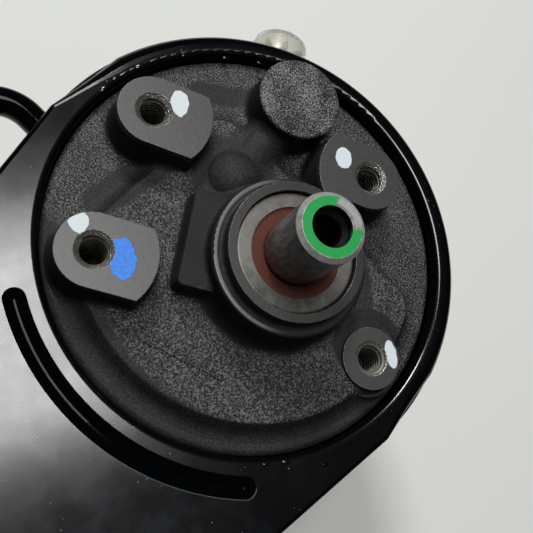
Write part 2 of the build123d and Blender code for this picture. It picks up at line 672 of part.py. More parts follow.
# Rotor, vanes and cam ring
with BuildPart() as rotor:
    with BuildSketch(Plane.XY.offset(RING_FRONT_Z - SIDE_GAP)):
        Circle(ROTOR_R)
        add(spline_outline(RUN_GAP), mode=Mode.SUBTRACT)
        with PolarLocations(VANE_SLOT_FLOOR_R, VANE_COUNT, start_angle=VANE_START):
            Circle(VANE_ROOT_R, mode=Mode.SUBTRACT)
            Rectangle(
                ROTOR_R, VANE_T + 2 * VANE_SLOT_GAP, align=(Align.MIN, Align.CENTER), mode=Mode.SUBTRACT
            )
    extrude(amount=2 * SIDE_GAP - RING_T)
save(rotor, "rotor")

for number, angle in enumerate(VANE_ANGLES, start=1):
    with BuildPart() as vane:
        tip_r = CAM_MIN_R - VANE_TIP_GAP
        with BuildSketch(Plane.XY.offset(RING_FRONT_Z - SIDE_GAP).rotated((0, 0, angle))):
            with Locations((tip_r - VANE_T / 2, 0)):
                Circle(VANE_T / 2)
                Rectangle(VANE_H - VANE_T / 2, VANE_T, align=(Align.MAX, Align.CENTER))
        extrude(amount=2 * SIDE_GAP - RING_T)
    save(vane, "vane_" + str(number))


def cam_radius(angle):
    """The cam ring's two-lobed bore, narrowest across the X axis."""
    return CAM_MIN_R + CAM_LIFT * (1 - math.cos(math.radians(2 * angle))) / 2


def dowel_holes():
    """Holes for the two dowels, all through the open block."""
    for dowel_angle in DOWEL_ANGLES:
        cylinder_between(
            DOWEL_R + RUN_GAP, CAVITY_FLOOR_Z, PRESSURE_BACK_Z,
            polar(DOWEL_CIRCLE_R, dowel_angle), Mode.SUBTRACT,
        )


def kidneys(z, depth):
    """Four kidney ports and the ring groove that feeds the vane roots, cut down from a height."""
    with BuildSketch(Plane.XY.offset(z)) as ports:
        for middle in range(45, 360, 90):
            SlotArc(
                CenterArc((0, 0), KIDNEY_R, middle - KIDNEY_SPAN / 2, KIDNEY_SPAN, mode=Mode.PRIVATE),
                KIDNEY_W,
            )
    extrude(ports.sketch, amount=depth, mode=Mode.SUBTRACT)
    with BuildSketch(Plane.XY.offset(z)) as feed:
        Circle(VANE_SLOT_FLOOR_R + VANE_FEED_W / 2)
        Circle(VANE_SLOT_FLOOR_R - VANE_FEED_W / 2, mode=Mode.SUBTRACT)
    extrude(feed.sketch, amount=math.copysign(VANE_FEED_DEPTH, depth), mode=Mode.SUBTRACT)


with BuildPart() as cam_ring:
    with BuildSketch(Plane.XY.offset(RING_BACK_Z)):
        Circle(RING_R)
        with BuildLine():
            steps = [360 / CAM_POINTS * k for k in range(CAM_POINTS)]
            Spline(*[polar(cam_radius(step), step) for step in steps], periodic=True)
        make_face(mode=Mode.SUBTRACT)
    extrude(amount=RING_T)
    dowel_holes()
save(cam_ring, "cam_ring")

with BuildPart() as thrust_plate:
    ring_between(RING_R, PLATE_HOLE_R, CAVITY_FLOOR_Z, RING_FRONT_Z)
    kidneys(RING_FRONT_Z, KIDNEY_DEPTH)
    dowel_holes()
save(thrust_plate, "thrust_plate")

with BuildPart() as pressure_plate:
    cylinder_between(RING_R, RING_BACK_Z, PRESSURE_BACK_Z)
    cylinder_between(SNAP_POCKET_R, RING_BACK_Z, RING_BACK_Z - SNAP_POCKET_DEPTH, mode=Mode.SUBTRACT)
    kidneys(RING_BACK_Z, -KIDNEY_DEPTH)
    dowel_holes()
save(pressure_plate, "pressure_plate")

with BuildPart() as dowels:
    for angle in DOWEL_ANGLES:
        cylinder_between(
            DOWEL_R, CAVITY_FLOOR_Z + DOWEL_FOOT - SEAT_GAP, PRESSURE_BACK_Z + OVERRUN,
            polar(DOWEL_CIRCLE_R, angle),
        )
save(dowels, "dowel_pins")

o_ring("pressure_plate_oring", PLATE_RING_R, PLATE_RING_ZS[0])
o_ring("end_plate_oring", PLATE_RING_R, PLATE_RING_ZS[1])

with BuildPart() as end_plate:
    cylinder_between(RING_R, END_PLATE_Z, END_PLATE_BACK_Z)
    chamfer(end_plate.edges(), END_PLATE_CHAMFER)
    cylinder_between(SPRING_SEAT_R, END_PLATE_Z, END_PLATE_Z - SPRING_SEAT_DEPTH, mode=Mode.SUBTRACT)
save(end_plate, "end_plate")

coil_spring(
    "end_plate_spring", PLATE_SPRING_R, PLATE_WIRE_R,
    END_PLATE_Z - SPRING_SEAT_DEPTH + SEAT_GAP, PRESSURE_BACK_Z - SEAT_GAP, PLATE_SPRING_TURNS,
)

with BuildPart() as clip:
    with BuildSketch(Plane.XY.offset(CLIP_Z)):
        Circle(CAVITY_R + CLIP_OUT - RING_GAP)
        Circle(CAVITY_R - CLIP_IN, mode=Mode.SUBTRACT)
        Rectangle(2 * CAVITY_R, CLIP_SLOT, align=(Align.MIN, Align.CENTER), mode=Mode.SUBTRACT)
    extrude(amount=-CLIP_T)
save(clip, "end_plate_clip")

o_ring(
    "housing_oring", (NECK_IN_R + NECK_GROOVE_R) / 2, NECK_GROOVE_Z - ORING_GROOVE_W / 2,
    RIM_X, RIM_Y, (NECK_IN_R - NECK_GROOVE_R) / 2 - RING_GAP,
)

# Flow control valve with the relief ball inside its spool
with BuildPart() as spool:
    spool_r = VALVE_BORE_R - RUN_GAP
    cylinder_between(spool_r, SPOOL_Z, SPOOL_Z - SPOOL_LENGTH, VALVE)
    for high, low in SPOOL_GROOVES:
        ring_between(spool_r + OVERRUN, SPOOL_GROOVE_R, high, low, VALVE, Mode.SUBTRACT)
    cylinder_between(SPOOL_BORE_R, SPOOL_Z, SPOOL_Z - SPOOL_BORE_DEPTH, VALVE, Mode.SUBTRACT)
    cylinder_between(ORIFICE_R, SPOOL_Z, SPOOL_Z - SPOOL_LENGTH, VALVE, Mode.SUBTRACT)
save(spool, "flow_valve_spool")

coil_spring(
    "flow_valve_spring", SPRING_R, SPRING_WIRE_R, SPOOL_Z + SEAT_GAP, VALVE_BORE_FRONT_Z - SEAT_GAP,
    SPRING_TURNS, *VALVE,
)

ball_z = SPOOL_Z - SPOOL_BORE_DEPTH + math.sqrt(RELIEF_BALL_R ** 2 - ORIFICE_R ** 2) + RING_GAP
with BuildPart() as ball:
    with Locations((VALVE[0], VALVE[1], ball_z)):
        Sphere(RELIEF_BALL_R)
save(ball, "relief_ball")

with BuildPart() as guide:
    guide_z = ball_z + RELIEF_BALL_R + RING_GAP
    cylinder_between(SPOOL_BORE_R - 2 * RUN_GAP, guide_z + GUIDE_FLANGE, guide_z, VALVE)
    cylinder_between(ORIFICE_R, guide_z + GUIDE_LENGTH, guide_z, VALVE)
save(guide, "relief_guide")

with BuildPart() as plug:
    plug_z = SPOOL_Z - PLUG_RECESS
    ring_between(SPOOL_BORE_R - RUN_GAP, ORIFICE_R, plug_z, plug_z - PLUG_T, VALVE)
save(plug, "relief_plug")

coil_spring(
    "relief_spring", RELIEF_SPRING_R, RELIEF_WIRE_R, guide_z + GUIDE_FLANGE + SEAT_GAP,
    plug_z - PLUG_T - SEAT_GAP, RELIEF_TURNS, *VALVE,
)

# Outlet union, studs and their rings at the rear
with BuildPart() as union_piece:
    cylinder_between(UNION_BORE_R - SEAT_GAP, UNION_FRONT_Z - SEAT_GAP, HEAD_Z, VALVE)
    cylinder_between(UNION_NOSE_R, SPOOL_Z - SPOOL_LENGTH - SEAT_GAP, UNION_FRONT_Z - SEAT_GAP, VALVE)
    with BuildSketch(Plane.XY.offset(HEAD_Z)):
        with Locations(VALVE):
            RegularPolygon(UNION_HEX / 2, 6, major_radius=False)
    extrude(amount=-UNION_HEAD)
    ring_between(
        UNION_BORE_R + 2 * SEAL_RING_R + RING_GAP, UNION_BORE_R - SEAT_GAP,
        HEAD_Z, HEAD_Z - 2 * SEAL_RING_R, VALVE, Mode.SUBTRACT,
    )
    cylinder_between(
        UNION_PORT_R, HEAD_Z - UNION_HEAD + UNION_PORT_DEPTH, HEAD_Z - UNION_HEAD, VALVE, Mode.SUBTRACT
    )
    cylinder_between(UNION_PASSAGE_R, SPOOL_Z - SPOOL_LENGTH, HEAD_Z - UNION_HEAD, VALVE, Mode.SUBTRACT)
save(union_piece, "outlet_union")
o_ring("union_oring", UNION_BORE_R + SEAL_RING_R, HEAD_Z - SEAL_RING_R, *VALVE, SEAL_RING_R - RING_GAP)

with BuildPart() as studs:
    for stud in STUD_PLACES:
        stud_top = REAR_BOSS_Z + STUD_DEPTH
        stud_tail = HEAD_Z - STUD_COLLAR - STUD_TAIL
        with BuildSketch(upright(*stud)) as half:
            with BuildLine():
                Polyline(
                    (0, stud_top), (STUD_R, stud_top), (STUD_R, stud_tail + STUD_POINT),
                    (STUD_R - STUD_POINT, stud_tail), (0, stud_tail), close=True,
                )
            make_face()
        revolve(half.sketch, axis=Axis((*stud, 0), (0, 0, 1)))
        with BuildSketch(Plane.XY.offset(HEAD_Z)) as collar:
            with Locations(stud):
                RegularPolygon(STUD_HEX / 2, 6, major_radius=False)
        extrude(collar.sketch, amount=-STUD_COLLAR)
        ring_between(
            STUD_R + 2 * SEAL_RING_R + RING_GAP, STUD_R, HEAD_Z, HEAD_Z - 2 * SEAL_RING_R, stud,
            Mode.SUBTRACT,
        )
save(studs, "rear_studs")

with BuildPart() as stud_rings:
    for stud in STUD_PLACES:
        with BuildSketch(upright(*stud)) as section:
            with Locations((STUD_R + SEAL_RING_R, HEAD_Z - SEAL_RING_R)):
                Circle(SEAL_RING_R - RING_GAP)
        revolve(section.sketch, axis=Axis((*stud, 0), (0, 0, 1)))
save(stud_rings, "stud_orings")


# Reservoir: a drawn front shell and a drawn rear shell lapped and brazed at the seam
def teardrop(inset):
    """Reservoir outline: two circles and their common tangents, drawn in by an inset."""
    with BuildSketch() as outline:
        with Locations((RIM_X, RIM_Y)):
            Circle(CAN_R - inset)
        with Locations((RIM_X, RIM_Y + CAN_SPAN)):
            Circle(CAN_END_R - inset)
        make_hull()
    return outline.sketch


def block_between(inset, z_high, z_low, mode=Mode.ADD):
    """An upright block of the reservoir's outline between two heights."""
    extrude(teardrop(inset).moved(Location((0, 0, z_low))), amount=z_high - z_low, mode=mode)


def shoulder_outline(z, round_inset, flat_inset):
    """One level of the front shoulder: far in round the opening, little along the filler end."""
    centre = Vector(RIM_X, RIM_Y)
    far = Vector(RIM_X, RIM_Y + CAN_SPAN)
    big_r = CAN_R - round_inset
    side_r = CAN_R - flat_inset
    end_r = CAN_END_R - flat_inset

    def around(middle, radius, angle):
        return middle + Vector(*polar(radius, angle))

    with BuildSketch(Plane.XY.offset(z)) as level:
        with BuildLine():
            CenterArc(centre, big_r, 180 - WEDGE_ANGLE, 180 + 2 * WEDGE_ANGLE)
            Line(around(centre, big_r, WEDGE_ANGLE), around(centre, side_r, CAN_TILT))
            Line(around(centre, side_r, CAN_TILT), around(far, end_r, CAN_TILT))
            CenterArc(far, end_r, CAN_TILT, 180 - 2 * CAN_TILT)
            Line(around(far, end_r, 180 - CAN_TILT), around(centre, side_r, 180 - CAN_TILT))
            Line(around(centre, side_r, 180 - CAN_TILT), around(centre, big_r, 180 - WEDGE_ANGLE))
        make_face()
    return level.sketch


def inset_at(depth, radius):
    """How far a rounded edge stands in at a depth below the face."""
    if depth >= radius:
        return 0.0
    return radius - math.sqrt(radius ** 2 - (radius - depth) ** 2)


def shoulder(wall, mode=Mode.ADD):
    """The rounded shoulder under the front face, moved in by a wall thickness."""
    round_r = SHOULDER_ROUND - wall
    flat_r = max(SHOULDER_FLAT - wall, 0.1)
    levels = []
    for step in range(SHOULDER_STEPS + 1):
        depth = round_r * (1 - math.cos(math.radians(90 * step / SHOULDER_STEPS)))
        levels.append(
            shoulder_outline(
                CAN_FACE_Z - wall - depth, wall + inset_at(depth, round_r), wall + inset_at(depth, flat_r)
            )
        )
    loft(levels, ruled=True, mode=mode)


with BuildPart() as front_shell:
    shoulder(0)
    block_between(0, CAN_FACE_Z - SHOULDER_ROUND, CAN_MID_Z)
    shoulder(SHEET, Mode.SUBTRACT)
    block_between(SHEET, CAN_FACE_Z - SHOULDER_ROUND, CAN_MID_Z, Mode.SUBTRACT)
    # Opening with its edge folded back into a neck
    fold_r = NECK_IN_R + NECK_FOLD
    cylinder_between(
        fold_r, CAN_FACE_Z + OVERRUN, CAN_FACE_Z - 2 * SHEET, (RIM_X, RIM_Y), Mode.SUBTRACT
    )
    with BuildSketch(upright(RIM_X, RIM_Y)):
        with BuildLine():
            RadiusArc((fold_r, CAN_FACE_Z), (NECK_IN_R, CAN_FACE_Z - NECK_FOLD), -NECK_FOLD)
            Polyline(
                (NECK_IN_R, CAN_FACE_Z - NECK_FOLD), (NECK_IN_R, NECK_BACK_Z),
                (NECK_IN_R + SHEET, NECK_BACK_Z), (NECK_IN_R + SHEET, CAN_FACE_Z - NECK_FOLD),
            )
            RadiusArc(
                (NECK_IN_R + SHEET, CAN_FACE_Z - NECK_FOLD), (fold_r, CAN_FACE_Z - SHEET), NECK_FOLD - SHEET
            )
            Line((fold_r, CAN_FACE_Z - SHEET), (fold_r, CAN_FACE_Z))
        make_face()
    revolve(axis=RIM_AXIS)
    # Stiffening bead pressed in round the opening: the sheet stands out below by what is pressed in
    for base, mode in ((CAN_FACE_Z - SHEET, Mode.ADD), (CAN_FACE_Z, Mode.SUBTRACT)):
        with BuildSketch(Plane.XY.offset(base)) as bead:
            middle = CenterArc((RIM_X, RIM_Y), BEAD_R, BEAD_FROM, BEAD_TO - BEAD_FROM, mode=Mode.PRIVATE)
            SlotArc(middle, BEAD_W)
        extrude(bead.sketch, amount=-BEAD_H, taper=BEAD_DRAFT, mode=mode)
    # Holes for the filler neck, the return tube and the second nipple
    reservoir_holes()
save(front_shell, "reservoir_front_shell")

with BuildPart() as hollow:
    block_between(SHEET, CAN_MID_Z, CAN_BACK_Z + SHEET)
    fillet(hollow.faces().sort_by(Axis.Z)[0].edges(), BACK_ROUND - SHEET)

with BuildPart() as rear_shell:
    block_between(0, CAN_MID_Z - SEAT_GAP, CAN_BACK_Z)
    fillet(rear_shell.faces().sort_by(Axis.Z)[0].edges(), BACK_ROUND)
    add(hollow.part, mode=Mode.SUBTRACT)
    # Joggled lap that slips inside the front shell
    block_between(SHEET / 2, CAN_MID_Z - SEAT_GAP, CAN_MID_Z - 2 * SHEET)
    block_between(SHEET + SEAT_GAP, CAN_MID_Z + SEAM_LAP, CAN_MID_Z - 2 * SHEET)
    block_between(2 * SHEET + SEAT_GAP, CAN_MID_Z + SEAM_LAP, CAN_MID_Z - 2 * SHEET, Mode.SUBTRACT)
    reservoir_holes()
    cylinder_between(UNION_BORE_R + LOOSE_GAP, REAR_BOSS_Z, CAN_BACK_Z, VALVE, Mode.SUBTRACT)
    for stud in STUD_PLACES:
        cylinder_between(STUD_R + LOOSE_GAP, REAR_BOSS_Z, CAN_BACK_Z, stud, Mode.SUBTRACT)
save(rear_shell, "reservoir_rear_shell")

with BuildPart() as magnet:
    cylinder_between(
        MAGNET_R, CAN_BACK_Z + SHEET + SEAT_GAP + MAGNET_T, CAN_BACK_Z + SHEET + SEAT_GAP, MAGNET_PLACE
    )
save(magnet, "debris_magnet")

# Filler neck with a notched lip, cap, gasket and dipstick
with BuildPart() as neck:
    along_y(NECK_R, NECK_FOOT_Y, NECK_TOP_Y)
    along_y(NECK_LIP_R, NECK_TOP_Y - NECK_LIP_T, NECK_TOP_Y)
    fillet(neck.edges().filter_by(GeomType.CIRCLE).group_by(Axis.Y)[-1], NECK_LIP_ROUND)
    with BuildSketch(neck_plane(NECK_TOP_Y)):
        with GridLocations(1, NECK_LIP_R + NECK_R + LOOSE_GAP, 1, 2):
            Rectangle(NOTCH_W, NECK_LIP_R - NECK_R)
    extrude(amount=-NECK_LIP_T, mode=Mode.SUBTRACT)
    along_y(NECK_R - NECK_WALL, NECK_FOOT_Y, NECK_TOP_Y, Mode.SUBTRACT)
save(neck, "filler_neck")

with BuildPart() as gasket:
    along_y(NECK_LIP_R - LOOSE_GAP, GASKET_Y, GASKET_Y + GASKET_T)
    along_y(NECK_R - NECK_WALL, GASKET_Y, GASKET_Y + GASKET_T, Mode.SUBTRACT)
save(gasket, "cap_gasket")

with BuildPart() as cap:
    along_y(CAP_R, CAP_Y - CAP_DEPTH, CAP_Y + CAP_TOP_T)
    fillet(cap.edges().filter_by(GeomType.CIRCLE).group_by(Axis.Y)[-1], CAP_ROUND)
    along_y(CAP_R - CAP_WALL, CAP_Y - CAP_DEPTH, CAP_Y, Mode.SUBTRACT)
    # Two lugs that pass the lip's notches and turn in under it
    with BuildSketch(neck_plane(CAP_Y - CAP_DEPTH)):
        Rectangle(NOTCH_W - 2 * LUG_SIDE_GAP, 2 * CAP_R - CAP_WALL)
        Circle(NECK_R + LOOSE_GAP, mode=Mode.SUBTRACT)
        Circle(CAP_R - CAP_WALL / 2, mode=Mode.INTERSECT)
    extrude(amount=LUG_T)
    # Grip bar across the top, and finger scallops round the rim
    with BuildSketch(neck_plane(CAP_Y + CAP_TOP_T)):
        SlotOverall(2 * (CAP_R - CAP_GRIP_INSET), CAP_GRIP_W, rotation=90)
    extrude(amount=CAP_GRIP_H, taper=CAP_GRIP_DRAFT)
    with BuildSketch(neck_plane(CAP_Y - CAP_DEPTH)):
        with PolarLocations(CAP_R + SCALLOP_SET, SCALLOPS):
            Circle(SCALLOP_R)
    extrude(amount=CAP_DEPTH, mode=Mode.SUBTRACT)
    # Socket for the dipstick
    along_y(CAP_SOCKET_R, CAP_Y - CAP_SOCKET, CAP_Y)
    along_y(DIPSTICK_R + PRESS_GAP, CAP_Y - CAP_SOCKET, CAP_Y, Mode.SUBTRACT)
save(cap, "filler_cap")

with BuildPart() as dipstick:
    along_y(DIPSTICK_R, DIPSTICK_END_Y, CAP_Y - SEAT_GAP)
    with BuildSketch(neck_plane(DIPSTICK_END_Y)):
        Rectangle(DIPSTICK_BLADE[0], DIPSTICK_BLADE[1])
    extrude(amount=-DIPSTICK_BLADE[2])
save(dipstick, "dipstick")

# Return tube: out through the wall, round a bend and on to a hose bead
with BuildPart() as tube:
    with BuildLine(Plane.XY.offset(TUBE_Z)) as route:
        run = Line((TUBE_ROOT_X, TUBE_Y), (TUBE_ROOT_X + TUBE_RUN, TUBE_Y))
        bend = JernArc(run @ 1, run % 1, TUBE_BEND_R, TUBE_BEND)
        tail = Line(bend @ 1, (bend @ 1) + (bend % 1) * TUBE_TAIL)
    with BuildSketch(Plane(origin=route.line @ 0, z_dir=route.line % 0)):
        Circle(TUBE_R)
    sweep(path=route.line)
    bead_plane = Plane(origin=(tail @ 1) - (tail % 1) * TUBE_BEAD_SET, z_dir=tail % 1)
    with BuildSketch(bead_plane):
        Circle(TUBE_R + TUBE_BEAD)
    extrude(amount=TUBE_BEAD_W)
    bead_length = 2 * math.pi * (TUBE_R + TUBE_BEAD)
    bead_edges = tube.edges().filter_by(lambda edge: math.isclose(edge.length, bead_length, rel_tol=0.001))
    fillet(bead_edges, TUBE_BEAD_ROUND)
    with BuildSketch(Plane(origin=route.line @ 0, z_dir=route.line % 0)):
        Circle(TUBE_R - TUBE_WALL)
    sweep(path=route.line, mode=Mode.SUBTRACT)
save(tube, "return_tube")

# Second return nipple and the plastic cap that closes it for transport
with BuildPart() as nipple:
    with BuildSketch(nipple_plane(CAN_R - 2 * SHEET)):
        Circle(NIPPLE_R)
        Circle(NIPPLE_R - NIPPLE_WALL, mode=Mode.SUBTRACT)
    extrude(amount=2 * SHEET + NIPPLE_LENGTH)
save(nipple, "return_nipple")

with BuildPart() as plug_cap:
    with BuildSketch(nipple_plane(CAN_R + PLUG_CAP_GAP)):
        Circle(PLUG_CAP_R)
    extrude(amount=PLUG_CAP_LENGTH)
    outwards = Axis((0, 0, 0), (*polar(1, NIPPLE_ANGLE), 0))
    fillet(plug_cap.faces().sort_by(outwards)[-1].edges(), PLUG_CAP_ROUND)
    with BuildSketch(nipple_plane(CAN_R + PLUG_CAP_GAP)):
        Circle(PLUG_CAP_R - PLUG_CAP_WALL)
        with PolarLocations((NIPPLE_R + PLUG_CAP_R) / 2, PLUG_CAP_RIBS):
            Rectangle(PLUG_CAP_R - NIPPLE_R - 2 * RUN_GAP, PLUG_CAP_RIB_T, mode=Mode.SUBTRACT)
    extrude(amount=NIPPLE_LENGTH - PLUG_CAP_GAP + SEAT_GAP, mode=Mode.SUBTRACT)
save(plug_cap, "transit_cap")
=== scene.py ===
# %% [markdown]
# Power steering pump. A vane pump sits in a dark casting, and the casting is sunk in a gloss black
# steel reservoir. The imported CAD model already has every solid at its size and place. This lesson
# adds what it lacks: the camera, the light, the finishes and the small raised detail.

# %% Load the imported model
import math

import bpy
from mathutils import Matrix, Vector


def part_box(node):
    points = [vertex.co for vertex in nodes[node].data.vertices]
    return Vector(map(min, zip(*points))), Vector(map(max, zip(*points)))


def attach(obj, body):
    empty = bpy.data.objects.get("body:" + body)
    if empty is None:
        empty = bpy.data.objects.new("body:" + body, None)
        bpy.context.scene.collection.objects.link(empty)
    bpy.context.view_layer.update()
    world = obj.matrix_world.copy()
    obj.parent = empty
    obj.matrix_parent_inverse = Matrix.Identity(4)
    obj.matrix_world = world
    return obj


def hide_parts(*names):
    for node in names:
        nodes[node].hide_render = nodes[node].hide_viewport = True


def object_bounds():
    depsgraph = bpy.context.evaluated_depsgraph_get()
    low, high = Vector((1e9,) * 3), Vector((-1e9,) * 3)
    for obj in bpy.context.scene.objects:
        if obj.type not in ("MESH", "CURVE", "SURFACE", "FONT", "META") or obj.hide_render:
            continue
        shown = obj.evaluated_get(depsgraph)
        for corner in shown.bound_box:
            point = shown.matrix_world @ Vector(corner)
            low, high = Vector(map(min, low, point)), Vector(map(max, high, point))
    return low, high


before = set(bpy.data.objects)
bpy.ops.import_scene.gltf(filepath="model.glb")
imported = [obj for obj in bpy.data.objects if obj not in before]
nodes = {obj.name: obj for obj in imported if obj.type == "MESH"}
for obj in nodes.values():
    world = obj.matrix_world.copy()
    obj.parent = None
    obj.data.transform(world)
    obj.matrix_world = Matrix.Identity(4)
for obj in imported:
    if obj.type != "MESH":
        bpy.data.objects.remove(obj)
cad_low, cad_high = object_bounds()
MM = 0.001
print("CAD nodes:", len(nodes))

# %% [markdown]
# The camera stands where the photographer stood: above the filler end, about 20 cm in front of the
# hub, with the pump rolled so that its shaft leans to the right. The three directions below are the
# picture's right, its up, and the way back to the viewer, measured on round shapes of known size.

# %% Camera
PHOTO_WIDTH = 533
FOCAL_PIXELS = 700
SENSOR_WIDTH = 36
CAMERA_PLACE = (17.06, 89.65, 171.99)

camera_data = bpy.data.cameras.new("photo_camera")
camera_data.sensor_width = SENSOR_WIDTH
camera_data.lens = SENSOR_WIDTH * FOCAL_PIXELS / PHOTO_WIDTH
camera_data.clip_start = 0.01
camera = bpy.data.objects.new("photo_camera", camera_data)
bpy.context.scene.collection.objects.link(camera)
picture_right = Vector((-0.7055, -0.62089, 0.3417))
picture_up = Vector((0.70511, -0.66346, 0.25028))
to_viewer = picture_right.cross(picture_up)
turn = Matrix((picture_right, picture_up, to_viewer)).transposed().to_4x4()
camera.matrix_world = Matrix.Translation(Vector(CAMERA_PLACE) * MM) @ turn
bpy.context.scene.camera = camera
print("camera at", [round(value, 4) for value in camera.location])

# %% [markdown]
# Shader maths reads best as ordinary formulas. A Signal wraps one output of a shader node, and
# Python's operators on it add Math nodes, so `1 - mask` or `x * x + y * y` work as written.

# %% Signals: shader outputs with arithmetic
class Signal:
    """One output of a shader node that takes part in Python arithmetic."""

    def __init__(self, finish, socket):
        self.finish = finish
        self.socket = socket

    def sum_up(self, operation, first, second=0.0):
        return self.finish.node("ShaderNodeMath", {"operation": operation}, {0: first, 1: second})

    def __add__(self, other):
        return self.sum_up("ADD", self, other)

    def __radd__(self, other):
        return self.sum_up("ADD", other, self)

    def __sub__(self, other):
        return self.sum_up("SUBTRACT", self, other)

    def __rsub__(self, other):
        return self.sum_up("SUBTRACT", other, self)

    def __mul__(self, other):
        return self.sum_up("MULTIPLY", self, other)

    def __truediv__(self, other):
        return self.sum_up("DIVIDE", self, other)

    def __abs__(self):
        return self.sum_up("ABSOLUTE", self)

    def root(self):
        return self.sum_up("SQRT", self)

    def larger(self, other):
        return self.sum_up("MAXIMUM", self, other)

    def smaller(self, other):
        return self.sum_up("MINIMUM", self, other)


# %% [markdown]
# A Finish is one material. It starts from the surface's own place in millimetres, so that a pattern
# has its real size and stays put from every side. Its helpers stand for the few nodes that the
# finishes share: noise, cells, soft steps, colour mixes and bumps. A Mix node has sockets for each
# kind of data, and the six numbers below are those for vectors and for colours.

# %% Finishes: materials built from signals
VECTOR_A, VECTOR_B, VECTOR_OUT = 4, 5, 1
COLOUR_A, COLOUR_B, COLOUR_OUT = 6, 7, 2
BEVEL_SAMPLES = 6
RAG_SIZE = 2.6


class Finish:
    """A procedural material, with its place on the object in millimetres."""

    def __init__(self, name):
        self.material = bpy.data.materials.new(name)
        self.material.use_nodes = True
        self.tree = self.material.node_tree
        self.shader = self.tree.nodes["Principled BSDF"]
        metres = self.node("ShaderNodeTexCoord", output="Object")
        sockets = {0: metres, 3: 1 / MM}
        self.place = self.node("ShaderNodeVectorMath", {"operation": "SCALE"}, sockets)
        self.x, self.y, self.z = self.split(self.place)
        self.true_normal = self.node("ShaderNodeNewGeometry", output="Normal")
        self.up = self.split(self.true_normal)[2]

    def node(self, kind, settings=None, inputs=None, output=0):
        """Any node: its settings first, then the values or links of its sockets."""
        made = self.tree.nodes.new(kind)
        for key, value in (settings or {}).items():
            setattr(made, key, value)
        for key, value in (inputs or {}).items():
            if isinstance(value, Signal):
                self.tree.links.new(value.socket, made.inputs[key])
            else:
                made.inputs[key].default_value = value
        return Signal(self, made.outputs[output])

    def split(self, vector):
        """The three parts of a vector."""
        parts = self.node("ShaderNodeSeparateXYZ", inputs={0: vector}).socket.node.outputs
        return [Signal(self, part) for part in parts]

    def noise(self, size, detail=2.0, roughness=0.5, vector=None):
        """Noise from 0 to 1 whose lumps are about size millimetres across."""
        sockets = {"Vector": vector or self.place, "Scale": 1 / size}
        sockets.update({"Detail": detail, "Roughness": roughness})
        return self.node("ShaderNodeTexNoise", inputs=sockets)

    def cells(self, size):
        """The distance to the nearest of many scattered points, about size millimetres apart."""
        sockets = {"Vector": self.place, "Scale": 1 / size}
        return self.node("ShaderNodeTexVoronoi", inputs=sockets, output="Distance")

    def stretched(self, factors):
        """The place with each axis scaled, for streaks and brushed lines."""
        sockets = {0: self.place, 1: factors}
        return self.node("ShaderNodeVectorMath", {"operation": "MULTIPLY"}, sockets)

    def step(self, value, low, high):
        """A soft step: 0 below low and 1 above high, or turned round if low is above high."""
        if low > high:
            return 1 - self.step(value, high, low)
        sockets = {"Value": value, "From Min": low, "From Max": high}
        return self.node("ShaderNodeMapRange", {"interpolation_type": "SMOOTHSTEP"}, sockets)

    def blend(self, factor, first, second):
        """A colour mix."""
        sockets = {"Factor": factor, COLOUR_A: self.colour(first), COLOUR_B: self.colour(second)}
        return self.node("ShaderNodeMix", {"data_type": "RGBA"}, sockets, COLOUR_OUT)

    def colour(self, value):
        """A colour as a socket takes it."""
        return value if isinstance(value, Signal) else (*value, 1)

    def bump(self, height, depth, strength, normal=None):
        """A normal from a height signal whose full range is depth millimetres."""
        sockets = {"Height": height, "Distance": depth * MM, "Strength": strength}
        if normal:
            sockets["Normal"] = normal
        return self.node("ShaderNodeBump", inputs=sockets)

    def bevel(self, radius):
        """A normal that rounds every edge by a radius in millimetres."""
        return self.node("ShaderNodeBevel", {"samples": BEVEL_SAMPLES}, {"Radius": radius * MM})

    def lean(self, rounded):
        """How well a rounded normal agrees with the true one: 1 on faces, less along edges."""
        sockets = {0: rounded, 1: self.true_normal}
        return self.node("ShaderNodeVectorMath", {"operation": "DOT_PRODUCT"}, sockets, 1)

    def reach(self, x, y):
        """Distance from the point x, y, seen along the shaft."""
        across = self.x - x
        along = self.y - y
        return (across * across + along * along).root()

    def strip(self, start, end):
        """Distance from the line between two points, seen along the shaft."""
        run = Vector(end) - Vector(start)
        share = ((self.x - start[0]) * run.x + (self.y - start[1]) * run.y) / run.length_squared
        share = share.larger(0).smaller(1)
        across = self.x - (share * run.x + start[0])
        along = self.y - (share * run.y + start[1])
        return (across * across + along * along).root()

    def blot(self, centre, half_sizes, turn, ragged):
        """A dab of paint: an ellipse seen along the shaft, with a ragged edge."""
        cosine, sine = math.cos(math.radians(turn)), math.sin(math.radians(turn))
        across = self.x - centre[0]
        along = self.y - centre[1]
        longwise = (across * cosine + along * sine) / half_sizes[0]
        sideways = (along * cosine - across * sine) / half_sizes[1]
        reach = (longwise * longwise + sideways * sideways).root()
        return self.step(reach + (self.noise(RAG_SIZE, detail=3) - 0.5) * 2 * ragged, 1.04, 0.96)

    def set(self, **values):
        """Gives sockets of the shader a value or a signal. Underscores stand for spaces."""
        for name, value in values.items():
            socket = self.shader.inputs[name.replace("_", " ")]
            if isinstance(value, Signal):
                self.tree.links.new(value.socket, socket)
            elif isinstance(value, tuple):
                socket.default_value = (*value, 1)
            else:
                socket.default_value = value
        return self

    def on(self, *names):
        """Paints CAD nodes."""
        for name in names:
            nodes[name].data.materials.clear()
            nodes[name].data.materials.append(self.material)
        print(self.material.name, "on", len(names), "nodes")
        return self


# %% [markdown]
# The pump lies on a plain pale table. Away from the pump the table fades into the colour of the
# room, which only the camera sees, so that a low view shows no dark horizon and the pump gets no
# light from it.

# %% Table
TABLE_SIZE = 6
TABLE_Z = cad_low.z - 0.2 * MM
FADE_FROM, FADE_TO = 200, 620
ROOM_COLOUR = (0.66, 0.67, 0.64)
BLACK = (0, 0, 0)

